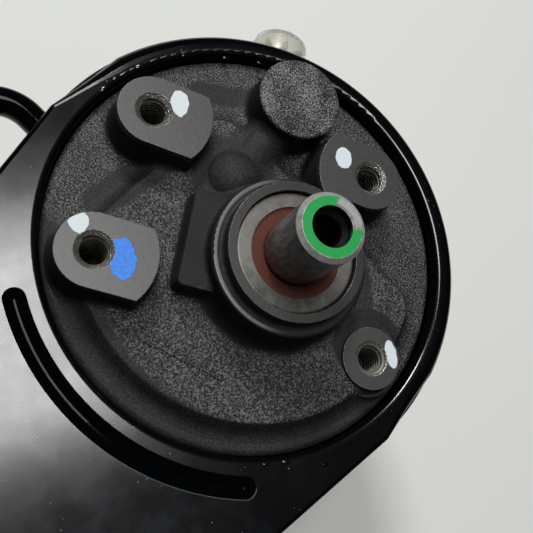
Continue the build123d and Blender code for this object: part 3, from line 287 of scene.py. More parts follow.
bpy.ops.object.select_all(action="DESELECT")
bpy.ops.mesh.primitive_plane_add(size=TABLE_SIZE, location=(0, 0, TABLE_Z))
table = bpy.context.active_object
table.name = "table"
pale = Finish("pale_table")
top_colour = pale.blend(pale.noise(300, detail=1), (0.69, 0.695, 0.66), (0.735, 0.74, 0.705))
far = pale.step(pale.reach(0, 0), FADE_FROM, FADE_TO)
seen_directly = pale.node("ShaderNodeLightPath", output="Is Camera Ray")
pale.set(
    Base_Color=pale.blend(far, top_colour, BLACK),
    Emission_Color=pale.blend(far * seen_directly, BLACK, ROOM_COLOUR),
    Emission_Strength=1,
    Roughness=0.8,
    Specular_IOR_Level=0.15,
)
table.data.materials.append(pale.material)
print("table at", round(TABLE_Z, 4))

# %% [markdown]
# Two soft lamps light the pump. A ceiling panel stands almost over the pump and shows as the bright
# patch on the reservoir's flat face. A stronger window stands beyond the picture's top edge, lights
# the casting's grain and draws the thin lights along edges. The rest of the room is dark, so the
# gloss paint stays black.

# %% Lamps and room
LAMP_SIZE = 0.5
ROOM_GLOW = 0.05


def lamp(name, place, target, watts, colour):
    """A square soft lamp at a place, aimed at a target, both in metres."""
    data = bpy.data.lights.new(name, "AREA")
    data.size = LAMP_SIZE
    data.energy = watts
    data.color = colour
    made = bpy.data.objects.new(name, data)
    bpy.context.scene.collection.objects.link(made)
    made.location = place
    made.rotation_euler = (Vector(target) - Vector(place)).to_track_quat("-Z", "Y").to_euler()
    print(name, watts, "W")


lamp("ceiling_panel", (0.22, -0.10, 1.45), (0, 0.03, 0), 13.5, (1, 1, 1))
lamp("window", (1.55, -0.95, 1.75), (0, 0, -0.02), 38, (0.96, 0.98, 1))

world = bpy.data.worlds.new("room")
bpy.context.scene.world = world
world.use_nodes = True
world_nodes = world.node_tree.nodes
seen = world_nodes.new("ShaderNodeLightPath")
shade = world_nodes.new("ShaderNodeMix")
shade.data_type = "RGBA"
shade.inputs[COLOUR_A].default_value = (ROOM_GLOW, ROOM_GLOW, ROOM_GLOW, 1)
shade.inputs[COLOUR_B].default_value = (*ROOM_COLOUR, 1)
world.node_tree.links.new(seen.outputs["Is Camera Ray"], shade.inputs["Factor"])
world.node_tree.links.new(shade.outputs[COLOUR_OUT], world_nodes["Background"].inputs["Color"])
bpy.context.scene.view_settings.view_transform = "Standard"

# %% [markdown]
# The casting was poured in sand: most of its face is coarse and dark, with tiny glints painted on
# the tops of its grain, while the ribs, coves and passages that a smoother core made are plain and
# darker. In the cove on the filler side of the rim and round the hub's foot, that darker colour is
# painted shade. Cutters left five places bare: three pads, the small boss and the hub. All of these
# places are known from the CAD model, so masks in millimetres pick them out. Points are X and Y
# from the shaft's axis, heights are Z along it, and a pair of points is the middle line of a long
# patch.

# %% Places on the casting
PADS = [(57.3, -4.2), (39.2, 37.7), (-2.1, -41.7)]
SMALL_BOSS = (-40.5, -0.8)
RIM = (9.2, -2.3)
VALVE = (31.1, -44.5)
DOME = (28.0, -12.0)
WING = (24, 14)
LOBE = (-38.2, -4.0)
COVE_CENTRE = (4.6, -1.2)
BAND = [(49.5, 22.5), (46.5, -2.0)]
BAY = [(55.4, -27.6), (42.0, -40.0)]
CHANNEL = [(-14.6, -26.0), (-29.0, -13.4)]
SEAM = [(12.3, 43.0), (-10.1, 36.1)]
HUB_Z = -5.0
PAD_Z = -10.0
WING_Z = -11.0
BOSS_Z = -17.5
HUB_R = 20.4
RING_R = 22.3
SHOULDER_R = 23.6
HOLE_EDGE_R = 5.5
print("places:", len(PADS), "pads")

# %% [markdown]
# First come the machined places and the walls of the tapped holes. The ring round the hub is bare
# and lighter only on the side of the filler, a painted highlight where the light falls on it.

# %% Casting: machined places
casting = Finish("cast_iron_face")
from_shaft = casting.reach(0, 0)


def level(height):
    """A mask for what lies within a hair of a height."""
    return casting.step(abs(casting.z - height), 0.4, 0.2)


facing = casting.step(casting.up, 0.9, 0.97)
pad_level = level(PAD_Z) * casting.step(from_shaft, 24, 25)
boss_level = level(BOSS_Z) * casting.step(casting.reach(*SMALL_BOSS), 11, 10)
toward_filler = (casting.x * 0.75 + casting.y * 0.66) / from_shaft
# Painted highlight: only the half of the ring toward the filler, where light falls, is made bare
# and light.
ring_lit_side = level(HUB_Z) * casting.step(from_shaft, RING_R - 0.4, RING_R)
ring_lit_side = ring_lit_side * casting.step(from_shaft, SHOULDER_R + 1, SHOULDER_R)
ring_lit_side = ring_lit_side * casting.step(toward_filler, 0.0, 0.5)
hub_front = casting.step(casting.z, HUB_Z - 0.2, HUB_Z)
hub_front = hub_front * casting.step(from_shaft, HUB_R + 1, HUB_R + 0.3)
milled = (facing * (pad_level + boss_level + ring_lit_side)).larger(hub_front).smaller(1)
in_hole = casting.reach(*SMALL_BOSS)
for pad in PADS:
    in_hole = in_hole.smaller(casting.reach(*pad))
hole_wall = casting.step(in_hole, HOLE_EDGE_R + 0.2, HOLE_EDGE_R)
hole_wall = hole_wall * casting.step(casting.up, 0.9, 0.8)
print("nodes so far:", len(casting.tree.nodes))

# %% [markdown]
# Then come the smooth places. Lumps of noise push their borders about, so that they look cast and
# not drawn with a compass. The cove on the filler side of the rim and the ring round the hub's foot
# are among them as painted shade.

# %% Casting: smooth places
lumps = casting.noise(11, detail=2)


def uneven(distance, spread):
    """A distance that wanders by up to half the spread either way."""
    return distance + (lumps - 0.5) * spread


band = casting.step(uneven(casting.strip(*BAND), 2), 6.4, 4.6)
dome = casting.step(casting.reach(*DOME), 16, 12)
gallery = casting.step(casting.strip(DOME, VALVE), 10, 7)
# Painted shade: the cove along the rim is made dark only on the filler side.
cove_shade = casting.step(uneven(casting.reach(*COVE_CENTRE), 2), 49.8, 51.6)
cove_shade = cove_shade * casting.step(casting.y - casting.x * 0.35, 13, 19)
bay = casting.step(uneven(casting.strip(*BAY), 2), 4.6, 2.8)
channel = casting.step(uneven(casting.strip(*CHANNEL), 2), 4.2, 2.4)
smooth = band.larger(dome).larger(gallery).larger(cove_shade).larger(bay).larger(channel)
smooth = smooth * casting.step(casting.z, -11.5, -12.5) * 0.85
# Painted shadow: a dark ring round the hub's foot stands for the hub's shadow.
hub_foot_shade = casting.step(uneven(from_shaft, 3), 27.5, 25.5)
wing = casting.step(abs(casting.z - WING_Z), 1.6, 0.8) * casting.step(casting.reach(*WING), 17, 15)
by_lobe = casting.step(casting.reach(*LOBE), 13, 11.5) * casting.step(casting.z, -17.8, -18.2)
steep = casting.step(casting.up, 0.75, 0.5) * casting.step(casting.z, -11.5, -13)
smooth = smooth.larger(hub_foot_shade).larger(wing).larger(by_lobe).larger(steep)
print("nodes so far:", len(casting.tree.nodes))

# %% [markdown]
# The tops of the sand's grain are painted light as glints, more strongly on the blind boss. Bare
# metal is grey with scuffs, and its edges are painted lighter in places, partly as rubbing and
# partly as highlights along them.

# %% Casting: metal
grain = casting.noise(0.52, detail=2, roughness=0.6)
rough_cap = casting.step(casting.reach(*VALVE), 14.5, 13.5) * casting.step(casting.z, -12.5, -11.8)
# Painted highlights: the tops of the grain, and more of them on the blind boss, get a light colour
# that stands in for glints.
tops = casting.step(grain + (lumps - 0.5) * (rough_cap * 0.35 + 0.12), 0.42, 0.70)
painted_glints = casting.blend(rough_cap, (0.135, 0.133, 0.128), (0.24, 0.235, 0.225))
sand = casting.blend(tops, (0.007, 0.007, 0.0075), painted_glints)
plain = casting.blend(lumps, (0.006, 0.0065, 0.007), (0.016, 0.0165, 0.017))
cast_colour = casting.blend(smooth * 0.95, sand, plain)

tool_marks = casting.noise(0.5, detail=3, vector=casting.stretched((0.3, 0.3, 4)))
scuffs = casting.noise(0.9, detail=4, roughness=0.75)
wear = scuffs * 0.7 + tool_marks * 0.3 + ring_lit_side * 0.9
bare = casting.blend(wear, (0.040, 0.040, 0.039), (0.105, 0.106, 0.103))
crisp = casting.bevel(0.3)
# Painted highlight and wear: edges found by the bevel are made light in patches.
worn_edge_and_glint = casting.step(casting.lean(crisp), 0.985, 0.90) * casting.step(scuffs, 0.42, 0.58)
bare = casting.blend(worn_edge_and_glint * 0.8, bare, (0.42, 0.42, 0.40))

colour = casting.blend(milled, cast_colour, bare)
colour = casting.blend(hub_front * (1 - worn_edge_and_glint) * 0.5, colour, (0.014, 0.014, 0.015))
colour = casting.blend(hole_wall, colour, (0.34, 0.325, 0.29))
print("nodes so far:", len(casting.tree.nodes))

# %% [markdown]
# An inspector left dabs of white paint and one of blue: each is a centre, half a length and half a
# width, a turn in degrees and a raggedness. A faint seam of the mould runs across the lower face.

# %% Casting: paint marks and relief
WHITE_DABS = [
    ((54.0, -11.7), (4.1, 2.7), -46, 0.22),
    ((47.2, 35.3), (3.0, 2.7), -44, 0.25),
    ((8.3, -39.7), (3.5, 2.8), -50, 0.2),
    ((-44.7, -6.5), (4.3, 1.9), -36, 0.2),
]
BLUE_DAB = ((32.5, 34.0), (5.4, 3.8), -45, 0.5)

white = casting.blot(*WHITE_DABS[0])
for dab in WHITE_DABS[1:]:
    white = white.larger(casting.blot(*dab))
white = white * milled
blue = casting.blot(*BLUE_DAB) * milled * (1 - hole_wall)
painted = white.larger(blue)
brushed = casting.noise(1.1, detail=3)
blue_paint = casting.blend(brushed, (0.015, 0.13, 0.60), (0.07, 0.30, 0.85))
colour = casting.blend(white * 0.94, colour, (0.66, 0.72, 0.74))
colour = casting.blend(blue, colour, blue_paint)

seam = casting.step(uneven(casting.strip(*SEAM), 3), 1.1, 0.1)
relief = grain * (1 - smooth * 0.8) + seam * 0.9
marks = (tool_marks + scuffs) * milled * 0.04 + painted * (brushed * 0.05 + 0.06)
height = relief * (1 - milled) + marks
sockets = {"Factor": milled.larger(hole_wall), VECTOR_A: casting.bevel(0.9), VECTOR_B: crisp}
base_normal = casting.node("ShaderNodeMix", {"data_type": "VECTOR"}, sockets, VECTOR_OUT)
rough_cast = (0.40 + smooth * 0.30) * (1 - milled)
rough_metal = rough_cast + milled * (0.38 + scuffs * 0.12) - hole_wall * 0.12
casting.set(
    Base_Color=colour,
    Metallic=(milled * 0.45 + hole_wall * 0.7 + 0.15).smaller(0.85) * (1 - painted),
    Roughness=rough_metal * (1 - painted) + painted * 0.55,
    Normal=casting.bump(height, 0.45, 0.9, base_normal),
    Specular_IOR_Level=0.3,
).on("pump_housing")

# %% [markdown]
# The reservoir is dipped in thick black paint. Its flat face is slightly wavy, dusty and smeared,
# with finger marks at the filler end, so it blurs what it mirrors. The rounded shoulder stays sharp
# and black, and a painted highlight, a line of light grey colour, runs along the groove's outer
# edge. The weight of the coat says where the paint shines. Walls start at a height below the face,
# and hands have touched the end from some Y on.

# %% Gloss black paint
FACE_Z = -20.0
GROOVE_R = 71.4
FOLD_R = 65.5
WALLS_FROM, WALLS_TO = -28, -36
HANDLED_FROM, HANDLED_TO = 45, 80

enamel = Finish("gloss_black_paint")
from_rim = enamel.reach(*RIM)
flat_face = enamel.step(enamel.up, 0.985, 0.999)
flat_face = flat_face * enamel.step(enamel.z, FACE_Z - 0.6, FACE_Z - 0.3)
fold = enamel.step(from_rim, FOLD_R + 1, FOLD_R) * enamel.step(enamel.z, FACE_Z - 1, FACE_Z - 0.2)
fold = fold * (1 - flat_face)
walls = enamel.step(enamel.up, 0.35, 0.1) * enamel.step(enamel.z, WALLS_FROM, WALLS_TO)
soft_edge = enamel.bevel(0.6)
# Painted highlight: a light line on the groove's crisp outer edge, mixed with the dust's colour.
groove_edge_glint = enamel.step(enamel.lean(soft_edge), 0.995, 0.95)
groove_edge_glint = groove_edge_glint * enamel.step(from_rim, GROOVE_R - 0.5, GROOVE_R + 0.5) * flat_face

ripple = enamel.noise(3.5, detail=2)
smear = enamel.step(enamel.noise(16, detail=5, roughness=0.65), 0.32, 0.68)
dust = enamel.step(enamel.cells(2.4), 0.10, 0.05) * enamel.step(enamel.noise(18), 0.5, 0.62)
fingers = enamel.step(enamel.noise(7, detail=3, roughness=0.65), 0.42, 0.62)
fingers = enamel.step(enamel.y, HANDLED_FROM, HANDLED_TO) * flat_face * fingers
black_paint = enamel.blend(fingers, (0.0010, 0.0013, 0.0018), (0.0042, 0.0056, 0.0078))
dust_and_glint = (dust * flat_face).larger(groove_edge_glint * 0.8)
enamel.set(
    Base_Color=enamel.blend(dust_and_glint, black_paint, (0.20, 0.21, 0.215)),
    Roughness=(flat_face * (0.12 + smear * 0.12) + fingers * 0.05 + 0.05).smaller(0.5),
    Coat_Weight=flat_face * (0.66 + smear * 0.34) + fold * 0.8 + walls * 0.6,
    Coat_Roughness=0.17,
    Normal=enamel.bump(ripple + enamel.noise(0.9) * flat_face * 0.35, 0.03, 0.5, soft_edge),
    Specular_IOR_Level=0.08,
).on("reservoir_front_shell", "reservoir_rear_shell", "return_tube", "filler_neck")

# %% [markdown]
# The shaft is ground steel that has gone dull, with rings from the grinding wheel. Its end is
# marked with green paint round the bore, apart from a bare stretch on one side. The chamfer is
# rubbed bright, and the inside of the bore is painted dark as shade.

# %% Drive shaft
SHAFT_TIP_Z = 22.3
BARE_ANGLE = 1.75
GREEN_R = 8.05
CHAMFER_R = 6.5
BORE_R = 5.5

steel_rod = Finish("dull_ground_shaft")
rings = steel_rod.noise(0.6, detail=3, vector=steel_rod.stretched((0.15, 0.15, 3)))
stains = steel_rod.noise(6, detail=3, roughness=0.6)
streaks = steel_rod.noise(1.6, detail=4, roughness=0.7, vector=steel_rod.stretched((1, 1, 0.3)))
dullness = stains * 0.5 + steel_rod.step(streaks, 0.35, 0.65) * 0.5
metal = steel_rod.blend(dullness, (0.13, 0.13, 0.127), (0.50, 0.49, 0.475))

shaft_r = steel_rod.reach(0, 0)
below_tip = SHAFT_TIP_Z - steel_rod.z
angle = steel_rod.node("ShaderNodeMath", {"operation": "ARCTAN2"}, {0: steel_rod.y, 1: steel_rod.x})
edge_noise = steel_rod.noise(1.6, detail=2) - 0.5
green_end = steel_rod.step(below_tip, 1.1, 0.9)
green_end = green_end * steel_rod.step(abs(angle + edge_noise * 0.5 + BARE_ANGLE), 0.62, 0.7)
green_end = green_end * steel_rod.step(shaft_r + edge_noise * 0.7, GREEN_R + 0.3, GREEN_R)
chamfer = steel_rod.step(below_tip, 1.5, 1.2) * steel_rod.step(shaft_r, CHAMFER_R - 0.3, CHAMFER_R)
rubbed = chamfer * (1 - green_end) * (0.75 + edge_noise)
metal = steel_rod.blend(rubbed, metal, (0.42, 0.42, 0.40))
# Painted shade: the inside of the bore is made near black.
bore_shade = steel_rod.step(shaft_r, BORE_R + 0.4, BORE_R) * steel_rod.step(below_tip, 0.5, 1.5)
metal = steel_rod.blend(bore_shade * 0.92, metal, (0.012, 0.012, 0.013))
paint = steel_rod.blend(edge_noise + 0.5, (0.012, 0.27, 0.05), (0.03, 0.34, 0.09))
steel_rod.set(
    Base_Color=steel_rod.blend(green_end, metal, paint),
    Metallic=(0.95 - rubbed * 0.6) * (1 - green_end),
    Roughness=(0.30 + rings * 0.12 + stains * 0.10) * (1 - green_end) + green_end * 0.3,
    Normal=steel_rod.bump(rings, 0.02, 0.35, steel_rod.bevel(0.2)),
).on("drive_shaft")

# %% [markdown]
# The seal is a zinc plated cup with a red-brown rubber lip that holds the shaft. The plating is
# painted darker on one side, as the shaft's shadow, and a thin line of rust runs round near its
# edge.

# %% Seal
RUST_FROM, RUST_TO = 17.6, 18.2

plated = Finish("zinc_plate")
cloud = plated.noise(3, detail=3)
speck = plated.noise(0.5, detail=2)
# Painted shadow: the plating is darker on one side, where the shaft's shadow falls.
shaft_shadow = plated.step(plated.y * 0.82 - plated.x * 0.57, 3, 15)
plate_r = plated.reach(0, 0)
rust = plated.step(plate_r, RUST_FROM - 0.4, RUST_FROM)
rust = rust * plated.step(plate_r, RUST_TO + 0.4, RUST_TO)
brightness = cloud * 0.6 + speck * 0.4 - shaft_shadow * 0.35
zinc = plated.blend(brightness, (0.035, 0.033, 0.029), (0.22, 0.21, 0.19))
plated.set(
    Base_Color=plated.blend(rust, zinc, (0.07, 0.025, 0.015)),
    Metallic=0.6,
    Roughness=0.36 + cloud * 0.16,
    Normal=plated.bump(speck, 0.02, 0.4, plated.bevel(0.3)),
).on("seal_case", "outlet_union", "rear_studs", "return_nipple")

lip_rubber = Finish("red_brown_rubber")
wax = lip_rubber.noise(1.2, detail=3)
lip_rubber.set(
    Base_Color=lip_rubber.blend(wax, (0.045, 0.009, 0.006), (0.11, 0.027, 0.016)),
    Roughness=0.5 + wax * 0.15,
    Specular_IOR_Level=0.2,
    Normal=lip_rubber.bump(wax, 0.04, 0.4),
).on("seal_lip")

# %% [markdown]
# What the pump hides is finished plainly but not flatly: ground steel with its wheel marks,
# springs, bronze, rubber, ferrite and moulded plastic.

# %% Inner metals, rubber and plastics
GROUND = ["rotor", "cam_ring", "thrust_plate", "pressure_plate", "end_plate", "dowel_pins"]
GROUND += ["flow_valve_spool", "relief_ball", "relief_guide", "relief_plug"]
GROUND += ["vane_" + str(number) for number in range(1, 11)]
SPRINGS = ["end_plate_spring", "flow_valve_spring", "relief_spring", "end_plate_clip"]
SPRINGS += ["rotor_snap_ring"]
RUBBER = ["pressure_plate_oring", "end_plate_oring", "housing_oring", "union_oring"]
RUBBER += ["stud_orings", "cap_gasket"]

ground = Finish("ground_steel")
wheel = ground.noise(0.8, detail=3, vector=ground.stretched((0.2, 0.2, 3)))
oil = ground.noise(9, detail=3)
ground.set(
    Base_Color=ground.blend(oil, (0.30, 0.295, 0.285), (0.46, 0.455, 0.44)),
    Metallic=0.95,
    Roughness=0.24 + wheel * 0.16,
    Normal=ground.bump(wheel, 0.02, 0.4, ground.bevel(0.2)),
).on(*GROUND)

spring_wire = Finish("blued_spring_steel")
drawn = spring_wire.noise(0.7, detail=3)
spring_wire.set(
    Base_Color=spring_wire.blend(drawn, (0.12, 0.125, 0.14), (0.24, 0.245, 0.26)),
    Metallic=0.9,
    Roughness=0.3 + drawn * 0.15,
    Normal=spring_wire.bump(drawn, 0.02, 0.4),
).on(*SPRINGS)

bronze = Finish("bush_bronze")
grains = bronze.noise(0.8, detail=3)
bronze.set(
    Base_Color=bronze.blend(grains, (0.36, 0.22, 0.10), (0.52, 0.34, 0.17)),
    Metallic=0.9,
    Roughness=0.3 + grains * 0.2,
    Normal=bronze.bump(grains, 0.03, 0.4),
).on("shaft_bushing")

black_rubber = Finish("black_seal_rubber")
bloom = black_rubber.noise(1.5, detail=3)
black_rubber.set(
    Base_Color=black_rubber.blend(bloom, (0.010, 0.010, 0.010), (0.026, 0.026, 0.027)),
    Roughness=0.5 + bloom * 0.2,
    Normal=black_rubber.bump(bloom, 0.03, 0.4),
).on(*RUBBER)

moulded = Finish("moulded_black_plastic")
spark = moulded.noise(0.35, detail=2)
worn = moulded.noise(12, detail=3)
moulded.set(
    Base_Color=moulded.blend(worn, (0.012, 0.012, 0.013), (0.030, 0.030, 0.031)),
    Roughness=0.38 + spark * 0.2,
    Normal=moulded.bump(spark, 0.05, 0.5, moulded.bevel(0.4)),
).on("filler_cap", "dipstick")

clear = Finish("yellowed_clear_plastic")
haze = clear.noise(4, detail=3)
clear.set(
    Base_Color=clear.blend(haze, (0.90, 0.89, 0.80), (0.97, 0.965, 0.93)),
    Roughness=0.16 + haze * 0.12,
    Transmission_Weight=0.85,
    IOR=1.46,
    Normal=clear.bump(haze, 0.05, 0.4),
).on("transit_cap")

ferrite = Finish("sintered_ferrite")
pores = ferrite.noise(0.6, detail=3)
ferrite.set(
    Base_Color=ferrite.blend(pores, (0.03, 0.03, 0.032), (0.075, 0.073, 0.07)),
    Metallic=0.3,
    Roughness=0.5 + pores * 0.2,
    Normal=ferrite.bump(pores, 0.05, 0.5),
).on("debris_magnet")

# %% [markdown]
# New pieces are made with ordinary editing steps, and these few helpers are shared by them.

# %% Helpers for new pieces
SMOOTH_ANGLE = 35


def focus(piece):
    """Makes one object the only selected and active one."""
    bpy.ops.object.select_all(action="DESELECT")
    piece.select_set(True)
    bpy.context.view_layer.objects.active = piece


def apply(piece, kind, **settings):
    """Adds a modifier with its settings and applies it."""
    modifier = piece.modifiers.new(kind, kind)
    for key, value in settings.items():
        setattr(modifier, key, value)
    focus(piece)
    bpy.ops.object.modifier_apply(modifier=modifier.name)


def join(pieces, label):
    """Makes one piece of several."""
    bpy.ops.object.select_all(action="DESELECT")
    for piece in pieces:
        piece.select_set(True)
    bpy.context.view_layer.objects.active = pieces[0]
    bpy.ops.object.join()
    joined = bpy.context.active_object
    joined.name = label
    return joined


def settle(piece, matrix):
    """Moves a piece's mesh to its place and leaves the object at the origin."""
    piece.data.transform(matrix)
    focus(piece)
    bpy.ops.object.shade_smooth_by_angle(angle=math.radians(SMOOTH_ANGLE))


# %% [markdown]
# Sand casting leaves no sharp inner corner: every foot of a pad, boss or rib runs into the face in
# a soft cove. A copy of the housing's front is rebuilt on an even grid and smoothed, so material
# creeps into its inner corners. Then it is drawn in by a hair, so that it shows only in the coves
# and the crisp CAD faces stay in front of it everywhere else. Machined places keep their corners.
# The dome and its gallery, whose core was rounder still, are smoothed once more.

# %% Coves of the casting
GRID = 0.75
COVE_PASSES = 45
SWELL_PASSES = 110
SKIN_INSET = 0.08
SKIN_FLOOR_Z = -27.0
CRISP_TOP_Z = -11.5
CRISP_STEP_Z = -13
CRISP_BOSS_R = 7
CRISP_PAD_R = 8
SWELL_CENTRE = (26, -15)
SWELL_R = 19


def stays_crisp(x, y, z):
    """Whether a point lies by a machined face, step or hole, which no cove softens."""
    from_axis = math.hypot(x, y)
    if from_axis < HUB_R or (from_axis < SHOULDER_R + 2 and z > CRISP_STEP_Z):
        return True
    if math.hypot(x - SMALL_BOSS[0], y - SMALL_BOSS[1]) < CRISP_BOSS_R or z > CRISP_TOP_Z:
        return True
    return any(math.hypot(x - pad[0], y - pad[1]) < CRISP_PAD_R for pad in PADS)


def softens(x, y, z):
    """Whether a point may sink into a cove."""
    return not stays_crisp(x, y, z)


def swells(x, y, z):
    """Whether a point lies by the dome and its gallery."""
    from_centre = math.hypot(x - SWELL_CENTRE[0], y - SWELL_CENTRE[1])
    return from_centre < SWELL_R and softens(x, y, z)


def smooth_where(piece, chosen, passes):
    """Smooths the points of a piece that a rule picks."""
    group = piece.vertex_groups.new(name=chosen.__name__)
    group.add([v.index for v in piece.data.vertices if chosen(*(v.co / MM))], 1, "REPLACE")
    apply(piece, "SMOOTH", factor=0.5, iterations=passes, vertex_group=group.name)


coves = bpy.data.objects.new("casting_coves", nodes["pump_housing"].data.copy())
bpy.context.scene.collection.objects.link(coves)
focus(coves)
bpy.ops.object.mode_set(mode="EDIT")
bpy.ops.mesh.select_all(action="SELECT")
bpy.ops.mesh.remove_doubles(threshold=0.001 * MM)
bpy.ops.mesh.select_all(action="SELECT")
floor = (0, 0, SKIN_FLOOR_Z * MM)
bpy.ops.mesh.bisect(plane_co=floor, plane_no=(0, 0, 1), clear_inner=True, use_fill=True)
bpy.ops.object.mode_set(mode="OBJECT")
apply(coves, "REMESH", mode="VOXEL", voxel_size=GRID * MM, use_smooth_shade=True)
smooth_where(coves, softens, COVE_PASSES)
apply(coves, "DISPLACE", strength=-SKIN_INSET * MM, mid_level=0, direction="NORMAL")
smooth_where(coves, swells, SWELL_PASSES)
coves.vertex_groups.clear()
coves.data.materials.clear()
coves.data.materials.append(casting.material)
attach(coves, "pump_body")
print("coves:", len(coves.data.polygons), "faces")

# %% [markdown]
# The four tapped holes are plain bores in the CAD model, as wide as the thread's roots. A thread is
# one small triangle that stands inward from the bore, turned and lowered along the axis by a Screw
# modifier. Each start and end is closed by a face.

# %% Threads in the tapped holes
THREAD_PITCH = 1.5
THREAD_DEPTH = 0.55
THREAD_HALF_WIDTH = 0.6
THREAD_START = 1.6
THREAD_STEPS = 36
PAD_TURNS, BOSS_TURNS = 9, 7
HOLE_R = 4.25
WALL_GRIP = 0.15

base_r, tip_r = HOLE_R + WALL_GRIP, HOLE_R - THREAD_DEPTH
TRIANGLE = [(base_r, -THREAD_HALF_WIDTH), (base_r, THREAD_HALF_WIDTH), (tip_r, 0.0)]
holes = [(*pad, PAD_Z, PAD_TURNS) for pad in PADS] + [(*SMALL_BOSS, BOSS_Z, BOSS_TURNS)]
for number, (x, y, mouth, turns) in enumerate(holes, start=1):
    bpy.ops.object.select_all(action="DESELECT")
    bpy.ops.mesh.primitive_circle_add(
        vertices=3, radius=THREAD_DEPTH * MM, rotation=(math.pi / 2, 0, 0)
    )
    thread = bpy.context.active_object
    thread.name = "thread_" + str(number)
    bpy.ops.object.transform_apply(location=True, rotation=True, scale=True)
    for vertex, (radius, height) in zip(thread.data.vertices, TRIANGLE):
        vertex.co = Vector((radius, 0, height)) * MM
    apply(
        thread, "SCREW", axis="Z", steps=THREAD_STEPS, render_steps=THREAD_STEPS,
        screw_offset=-THREAD_PITCH * MM, iterations=turns,
    )
    bpy.ops.object.mode_set(mode="EDIT")
    bpy.ops.mesh.select_all(action="SELECT")
    bpy.ops.mesh.remove_doubles(threshold=0.001 * MM)
    bpy.ops.mesh.fill_holes(sides=3)
    bpy.ops.mesh.normals_make_consistent(inside=False)
    bpy.ops.transform.translate(value=Vector((x, y, mouth - THREAD_START)) * MM)
    bpy.ops.object.mode_set(mode="OBJECT")
    thread.data.materials.append(casting.material)
    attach(thread, "pump_body")
print("threads:", len(holes))

# %% [markdown]
# Thick paint gathers before it dries: a few beads of it sit by the folded edge of the opening. Each
# is a ball pressed flat and drawn out along the edge. The list gives X, Y and the ball's radius.

# %% Beads of paint
BEADS = [(73.7, -2.4, 1.1), (74.0, -7.5, 0.8), (72.4, -16.4, 1.2), (57.6, -41.2, 0.9)]
BEADS += [(49.2, -49.2, 0.7), (-40.2, 40.0, 1.0), (-49.6, 32.6, 0.8), (-36.0, 44.6, 0.7)]
BEADS += [(66.5, -30.5, 0.6)]
PRESSED = (1.5, 0.7, 0.35)

beads = []
for x, y, size in BEADS:
    bpy.ops.object.select_all(action="DESELECT")
    bpy.ops.mesh.primitive_uv_sphere_add(segments=24, ring_count=16, radius=size * MM)
    bead = bpy.context.active_object
    along = math.atan2(y - RIM[1], x - RIM[0]) + math.pi / 2
    bpy.ops.object.mode_set(mode="EDIT")
    bpy.ops.mesh.select_all(action="SELECT")
    bpy.ops.transform.resize(value=PRESSED, center_override=(0, 0, 0))
    bpy.ops.transform.rotate(value=-along, orient_axis="Z", center_override=(0, 0, 0))
    bpy.ops.transform.translate(value=Vector((x, y, FACE_Z)) * MM)
    bpy.ops.object.mode_set(mode="OBJECT")
    bpy.ops.object.shade_smooth()
    beads.append(bead)
paint_beads = join(beads, "paint_beads")
paint_beads.data.materials.append(enamel.material)
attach(paint_beads, "pump_body")
print("beads of paint:", len(BEADS))

# %% [markdown]
# Some pieces are round about an axis. A turner would cut them from a bar, and here a ring of points
# is drawn out step by step along its axis and drawn in or let out at each step.

# %% Turned pieces
TURNED_POINTS = 96


def turned(label, profile, closed_foot=True):
    """A round piece about Z from steps of radius and height in millimetres, foot first."""
    first_radius, first_height = profile[0]
    bpy.ops.object.select_all(action="DESELECT")
    foot = "NGON" if closed_foot else "NOTHING"
    bpy.ops.mesh.primitive_circle_add(
        vertices=TURNED_POINTS, radius=first_radius * MM, fill_type=foot
    )
    made = bpy.context.active_object
    made.name = label
    bpy.ops.object.mode_set(mode="EDIT")
    bpy.ops.mesh.select_mode(type="EDGE")
    bpy.ops.mesh.select_all(action="SELECT")
    bpy.ops.transform.translate(value=(0, 0, first_height * MM))
    if closed_foot:
        bpy.ops.mesh.region_to_loop()
    for (radius, height), (next_radius, next_height) in zip(profile, profile[1:]):
        rise = (0, 0, (next_height - height) * MM)
        bpy.ops.mesh.extrude_edges_move(TRANSFORM_OT_translate={"value": rise})
        centre = (0, 0, next_height * MM)
        ratio = next_radius / radius
        bpy.ops.transform.resize(value=(ratio, ratio, 1), center_override=centre)
    bpy.ops.mesh.edge_face_add()
    bpy.ops.mesh.select_all(action="SELECT")
    bpy.ops.mesh.normals_make_consistent(inside=False)
    bpy.ops.object.mode_set(mode="OBJECT")
    return made


# %% [markdown]
# The small boss stands on a low stepped lobe of the casting, off its centre, which shows as two
# crescents above it. The lobe is cut off short of the tapped hole.

# %% Lobe beside the small boss
LOBE_STEPS = [(11.0, -25.0), (10.3, -21.6), (9.6, -21.0), (9.4, -19.6), (8.8, -19.0)]
CLEAR_OF_HOLE = 5.2

lobe = turned("boss_lobe", LOBE_STEPS)
settle(lobe, Matrix.Translation(Vector((*LOBE, 0)) * MM))
away = (Vector(LOBE) - Vector(SMALL_BOSS)).normalized().to_3d()
cut = (Vector((*SMALL_BOSS, 0)) + away * CLEAR_OF_HOLE) * MM
bpy.ops.object.mode_set(mode="EDIT")
bpy.ops.mesh.select_all(action="SELECT")
bpy.ops.mesh.bisect(plane_co=cut, plane_no=away, clear_inner=True, use_fill=True)
bpy.ops.object.mode_set(mode="OBJECT")
lobe.data.materials.append(casting.material)
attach(lobe, "pump_body")
print("lobe:", len(lobe.data.polygons), "faces")

# %% [markdown]
# The clear cap over the return nipple is a moulded cup: a thin wall, a soft end and a bead round
# its mouth. The cup is turned, given its wall by Solidify, and stands for the CAD cap, which is
# shorter and stays in the physics. The cup's place is a turn about the rim's centre and a distance
# from there.

# %% Transit cap: cup
CAP_TURN = math.radians(-60)
CAP_FOOT = 73.2
CUP = [(10.9, 0), (10.9, 1.3), (10.4, 1.8), (10.3, 12.6)]
CUP += [(9.8, 14.4), (8.6, 15.5), (6.9, 15.9), (0.5, 16.0)]
CUP_WALL = 1.1

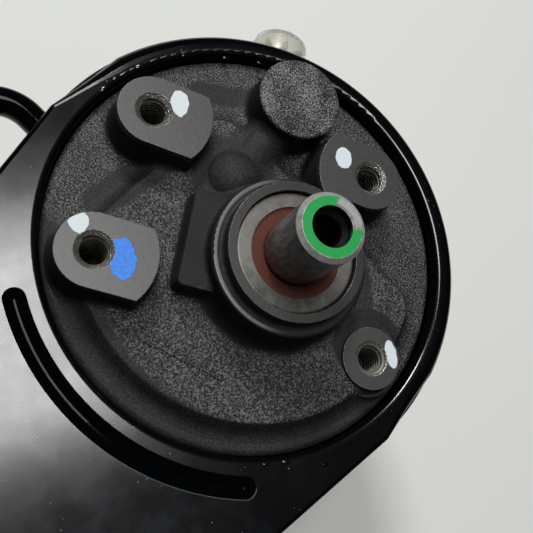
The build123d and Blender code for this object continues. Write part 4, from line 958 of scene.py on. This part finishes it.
cap_low, cap_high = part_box("transit_cap")
cap_z = (cap_low[2] + cap_high[2]) / 2
outwards = Vector((math.cos(CAP_TURN), math.sin(CAP_TURN), 0))
upwards = Vector((0, 0, 1))
cap_turn = Matrix((upwards.cross(outwards), upwards, outwards)).transposed().to_4x4()
cap_foot = Vector((*RIM, 0)) * MM + Vector((0, 0, cap_z)) + outwards * CAP_FOOT * MM
cap_place = Matrix.Translation(cap_foot) @ cap_turn

cup = turned("transit_cap_cup", CUP, closed_foot=False)
apply(cup, "SOLIDIFY", thickness=CUP_WALL * MM, offset=-1)
settle(cup, cap_place)
cup.data.materials.append(clear.material)
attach(cup, "transit_cap_body")
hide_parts("transit_cap")
print("cup:", len(cup.data.polygons), "faces")

# %% [markdown]
# Ribs of tan plastic inside the cup grip the nipple. They are blocks with softened edges, set in a
# circle.

# %% Transit cap: ribs
RIBS = 8
RIB_SIZE = (2.3, 1.3, 9.0)
RIB_EDGE = 0.3
RIB_PLACE = (7.95, 0, 6.2)

ribs = []
for number in range(RIBS):
    bpy.ops.object.select_all(action="DESELECT")
    bpy.ops.mesh.primitive_cube_add(size=MM, location=(0, 0, 0))
    rib = bpy.context.active_object
    bpy.ops.object.mode_set(mode="EDIT")
    bpy.ops.mesh.select_all(action="SELECT")
    bpy.ops.transform.resize(value=RIB_SIZE, center_override=(0, 0, 0))
    bpy.ops.mesh.bevel(offset=RIB_EDGE * MM, segments=2)
    bpy.ops.transform.translate(value=Vector(RIB_PLACE) * MM)
    bpy.ops.object.mode_set(mode="OBJECT")
    rib.data.transform(Matrix.Rotation(2 * math.pi * number / RIBS, 4, "Z"))
    ribs.append(rib)
cap_ribs = join(ribs, "transit_cap_ribs")
settle(cap_ribs, cap_place)

tan = Finish("tan_plastic")
grain_lines = tan.noise(1.5, detail=3)
tan.set(
    Base_Color=tan.blend(grain_lines, (0.50, 0.36, 0.19), (0.68, 0.54, 0.34)),
    Roughness=0.4 + grain_lines * 0.2,
    Normal=tan.bump(grain_lines, 0.03, 0.4),
)
cap_ribs.data.materials.append(tan.material)
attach(cap_ribs, "transit_cap_body")
print("ribs:", RIBS)

# %% Sizes and finish
print("CAD box", [round(v, 4) for v in (*cad_low, *cad_high)])
